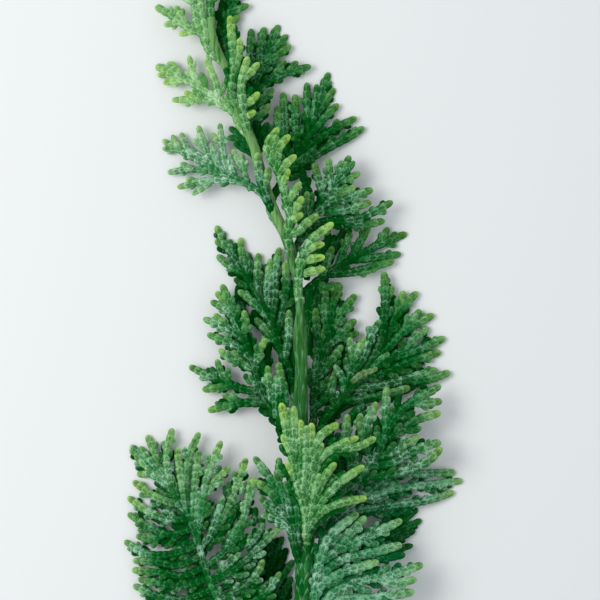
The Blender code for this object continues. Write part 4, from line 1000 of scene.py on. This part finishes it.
def ridged_tube():
    """The stem drawn as a curve, with a ridged outline swept along it, and made a mesh."""
    data = bpy.data.curves.new("stem", "CURVE")
    data.dimensions = "3D"
    data.twist_mode = "Z_UP"
    run = smooth_line(STEM)[::4]
    spline = data.splines.new("POLY")
    spline.points.add(len(run) - 1)
    for spot, (x, y, z, diameter) in zip(spline.points, run):
        spot.co = ((x - LAYOUT_X) * MM, (y - LAYOUT_Y) * MM, z * MM, 1)
        spot.radius = diameter / 2
    section = bpy.data.curves.new("stem_section", "CURVE")
    section.dimensions = "2D"
    ring = section.splines.new("POLY")
    ring.points.add(OUTLINE - 1)
    for step, spot in enumerate(ring.points):
        turn = step * math.tau / OUTLINE
        radius = (0.87 + 0.05 * math.cos(8 * turn) + 0.04 * math.cos(4 * turn)) * MM
        spot.co = (radius * math.cos(turn), radius * math.sin(turn), 0, 1)
    ring.use_cyclic_u = True
    outline = placed("stem_section", section)
    data.bevel_mode = "OBJECT"
    data.bevel_object = outline
    tube = placed("stem_tube", data)
    tube.select_set(True)
    bpy.context.view_layer.objects.active = tube
    bpy.ops.object.convert(target="MESH")
    bpy.data.objects.remove(outline)
    return tube


# Each inset of the cut end, in metres: how wide the ring of bark, of wood and of pith is, and how
# far it goes in
BARK_RING = (0.00035, -0.00015)
WOOD_RING = (0.0013, 0.0001)
PITH_RING = (0.0002, -0.00015)


def inset(ring):
    width, depth = ring
    bpy.ops.mesh.inset(thickness=width, depth=depth)


def cut_end(tube):
    """Closes both ends, and insets the lower one: a rim of bark, the wood and a small pith."""
    bpy.ops.object.mode_set(mode="EDIT")
    bpy.ops.mesh.select_all(action="SELECT")
    bpy.ops.mesh.remove_doubles(threshold=1e-6)
    bpy.ops.mesh.fill_holes(sides=64)
    bpy.ops.mesh.normals_make_consistent(inside=False)
    bpy.ops.mesh.select_mode(type="FACE")
    bpy.ops.mesh.select_all(action="DESELECT")
    bpy.ops.object.mode_set(mode="OBJECT")
    caps = [face for face in tube.data.polygons if len(face.vertices) > 8]
    min(caps, key=lambda face: face.center.y).select = True
    bpy.ops.object.mode_set(mode="EDIT")
    inset(BARK_RING)
    tube.active_material_index = 1
    bpy.ops.object.material_slot_assign()
    inset(WOOD_RING)
    inset(PITH_RING)
    bpy.ops.mesh.select_mode(type="VERT")
    bpy.ops.object.mode_set(mode="OBJECT")
    print("faces of cut wood:", sum(face.material_index == 1 for face in tube.data.polygons))


# %% [markdown]
# ## Scale leaves of the stem
# The stem wears scale leaves too, in staggered rings like roof tiles. On the lower stem they are
# short and broad with free points, higher up they are drawn out into ridges, and near the leader
# they are small again. One leaf is modelled flat: an outline of eight corners with its point
# pulled forwards, raised to a keel. Its copies are wrapped round.

# %% One scale leaf of the stem
def add_stem_scale():
    """A leaf one unit long and two wide, whose point is then drawn out forwards."""
    bpy.ops.mesh.primitive_circle_add(vertices=8, radius=0.5, fill_type="NGON", location=(0.5, 0, 0))
    scale = bpy.context.active_object
    bpy.ops.object.transform_apply(location=True)
    edit_all()
    bpy.ops.transform.resize(value=(1, 2, 1))
    for height, long, wide in ((0.55, 0.92, 0.86), (0.2, 0.85, 0.72), (0.25, 0.8, 0.4)):
        raised(height, long, wide)
    end_edit()
    bpy.ops.object.mode_set(mode="EDIT")
    bpy.ops.mesh.select_all(action="DESELECT")
    bpy.ops.object.mode_set(mode="OBJECT")
    for corner in scale.data.vertices:
        corner.select = corner.co.x > 0.93
    bpy.ops.object.mode_set(mode="EDIT")
    bpy.ops.transform.translate(value=(0.25, 0, 0))
    bpy.ops.object.mode_set(mode="OBJECT")
    return scale


def scale_rim(x, y, z):
    """Pale along the outline, most of all round the point."""
    if z > 0.7:
        return 0.0
    return 0.35 + 0.65 * min(1.0, max(0.0, x))


STEM_SCALE = as_arrays(add_stem_scale(), scale_rim)
print("faces of a stem scale:", len(STEM_SCALE["sizes"]))


# %% Wrap the scale leaves round the stem
# How many scale leaves a ring has, and how far on the next ring starts in lengths of a leaf
RING = 5
NEXT_RING = 0.47
# Up to where they are thicker, and up to where their points stand off the stem
THICK_UP_TO = 38
FREE_UP_TO = 34
# Places up the stem, and how fresh the scale leaves are there
STEM_FRESHNESS = ((20, 50, 64, 70, 78, 84, 88, 112, 118, 146),
                  (0.0, 0.1, 0.25, 0.15, 0.25, 0.5, 0.85, 0.8, 0.65, 0.75))


def scale_length(y):
    """Short on the lower stem, drawn out between the sprays, and small near the leader."""
    return float(np.interp(y, (-40, 25, 42, 84, 100, 116, 146), (4.2, 4.2, 9.0, 9.0, 7.0, 3.6, 3.4)))


def wrapped_scales(seed):
    """Rings of scale leaves up the stem, each turned by half a leaf from the last."""
    chance = np.random.default_rng(seed)
    corners = STEM_SCALE["corners"]
    run = smooth_line(STEM)
    along = unit(np.gradient(run[:, :3], axis=0))
    across = unit(np.cross((0, 0, 1), along))
    up = np.cross(along, across)
    runs = np.arange(len(run)) * STEP
    pieces = []
    place, ring = 1.0, 0
    while place < runs[-1] - 1.5:
        y = np.interp(place, runs, run[:, 1])
        length = scale_length(y)
        thickness, free = (0.20 if y < THICK_UP_TO else 0.16), (1.6 if y < FREE_UP_TO else 0.5)
        fresh = np.full(len(corners), np.interp(y, *STEM_FRESHNESS))
        rims = STEM_SCALE["rims"] * float(np.interp(y, (-30, -5), (0.6, 1.0)))
        for turn in np.arange(RING) * math.tau / RING:
            at = place + chance.uniform(-0.4, 0.4) + corners[:, 0] * length
            here, side, over = (sampled(at, runs, table) for table in (run[:, :3], across, up))
            radius = np.interp(at, runs, run[:, 3]) / 2
            angle = turn + ring * math.pi / RING + corners[:, 1] * 0.56 + chance.uniform(-0.08, 0.08)
            height = 0.92 * radius + corners[:, 2] * thickness * np.maximum(0.8, radius)
            height = height + 0.5 * np.clip(corners[:, 0] - 0.75, 0, 1) * free
            outwards = side * np.cos(angle)[:, None] + over * np.sin(angle)[:, None]
            # Painted shade: the base of each stem scale, where it meets the stem, gets no tone
            tone = np.where(corners[:, 2] > 0.3, chance.uniform(0.6, 1), 0.0)
            pieces.append((here + outwards * height[:, None], STEM_SCALE, rims, fresh, tone, 0 * tone))
        place += length * NEXT_RING
        ring += 1
    return pieces


tube = ridged_tube()
green_bark = bark()
tube.data.materials.append(green_bark)
tube.data.materials.append(cut_wood())
cut_end(tube)
scales = as_mesh("stem_scales", wrapped_scales(7))
scales.data.materials.append(green_bark)
stem = joined("stem", [tube, scales])
smoothed(stem, 40)
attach(stem, "root")
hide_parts("main_stem")
print("faces of the stem:", len(stem.data.polygons))

# %% [markdown]
# ## The surface, the light and the camera
# The branch lies on a plain, nearly white surface in soft daylight from the upper left.

# %% Surface
bpy.ops.mesh.primitive_plane_add(size=3.0, location=(0, 0, 0))
surface = bpy.context.active_object
surface.name = "surface"
bpy.ops.object.mode_set(mode="EDIT")
bpy.ops.mesh.select_all(action="SELECT")
bpy.ops.mesh.subdivide(number_cuts=3)
bpy.ops.object.mode_set(mode="OBJECT")
paper, _, paper_shader = new_material("paper", 0.9, 0.1)
paper_shader.inputs["Base Color"].default_value = (0.88, 0.90, 0.90, 1)
surface.data.materials.append(paper)

# %% Light
world = bpy.data.worlds.new("daylight")
bpy.context.scene.world = world
world.use_nodes = True
sky = world.node_tree.nodes["Background"]
sky.inputs["Color"].default_value = (0.92, 0.96, 1.0, 1)
sky.inputs["Strength"].default_value = 0.585


def add_softbox(name, place, size, watts, colour):
    light = bpy.data.lights.new(name, "AREA")
    light.size = size
    light.energy = watts
    light.color = colour
    lamp = placed(name, light)
    lamp.location = place
    lamp.rotation_euler = (-Vector(place)).to_track_quat("-Z", "Y").to_euler()


add_softbox("window", (-0.45, 0.12, 0.55), 0.4, 2.85, (1.0, 0.985, 0.96))

# %% Camera
lens = bpy.data.cameras.new("camera")
lens.sensor_width = 36
lens.lens = 192
camera = placed("camera", lens)
# The middle of the photo on the layout, and the camera's height over it in metres
PHOTO_X = -1.25
PHOTO_Y = 75.0
CAMERA_HEIGHT = 0.808
camera.location = ((PHOTO_X - LAYOUT_X) * MM, (PHOTO_Y - LAYOUT_Y) * MM, CAMERA_HEIGHT)
camera.rotation_euler = (0, 0, 0)
bpy.context.scene.camera = camera
bpy.context.scene.view_settings.view_transform = "Standard"
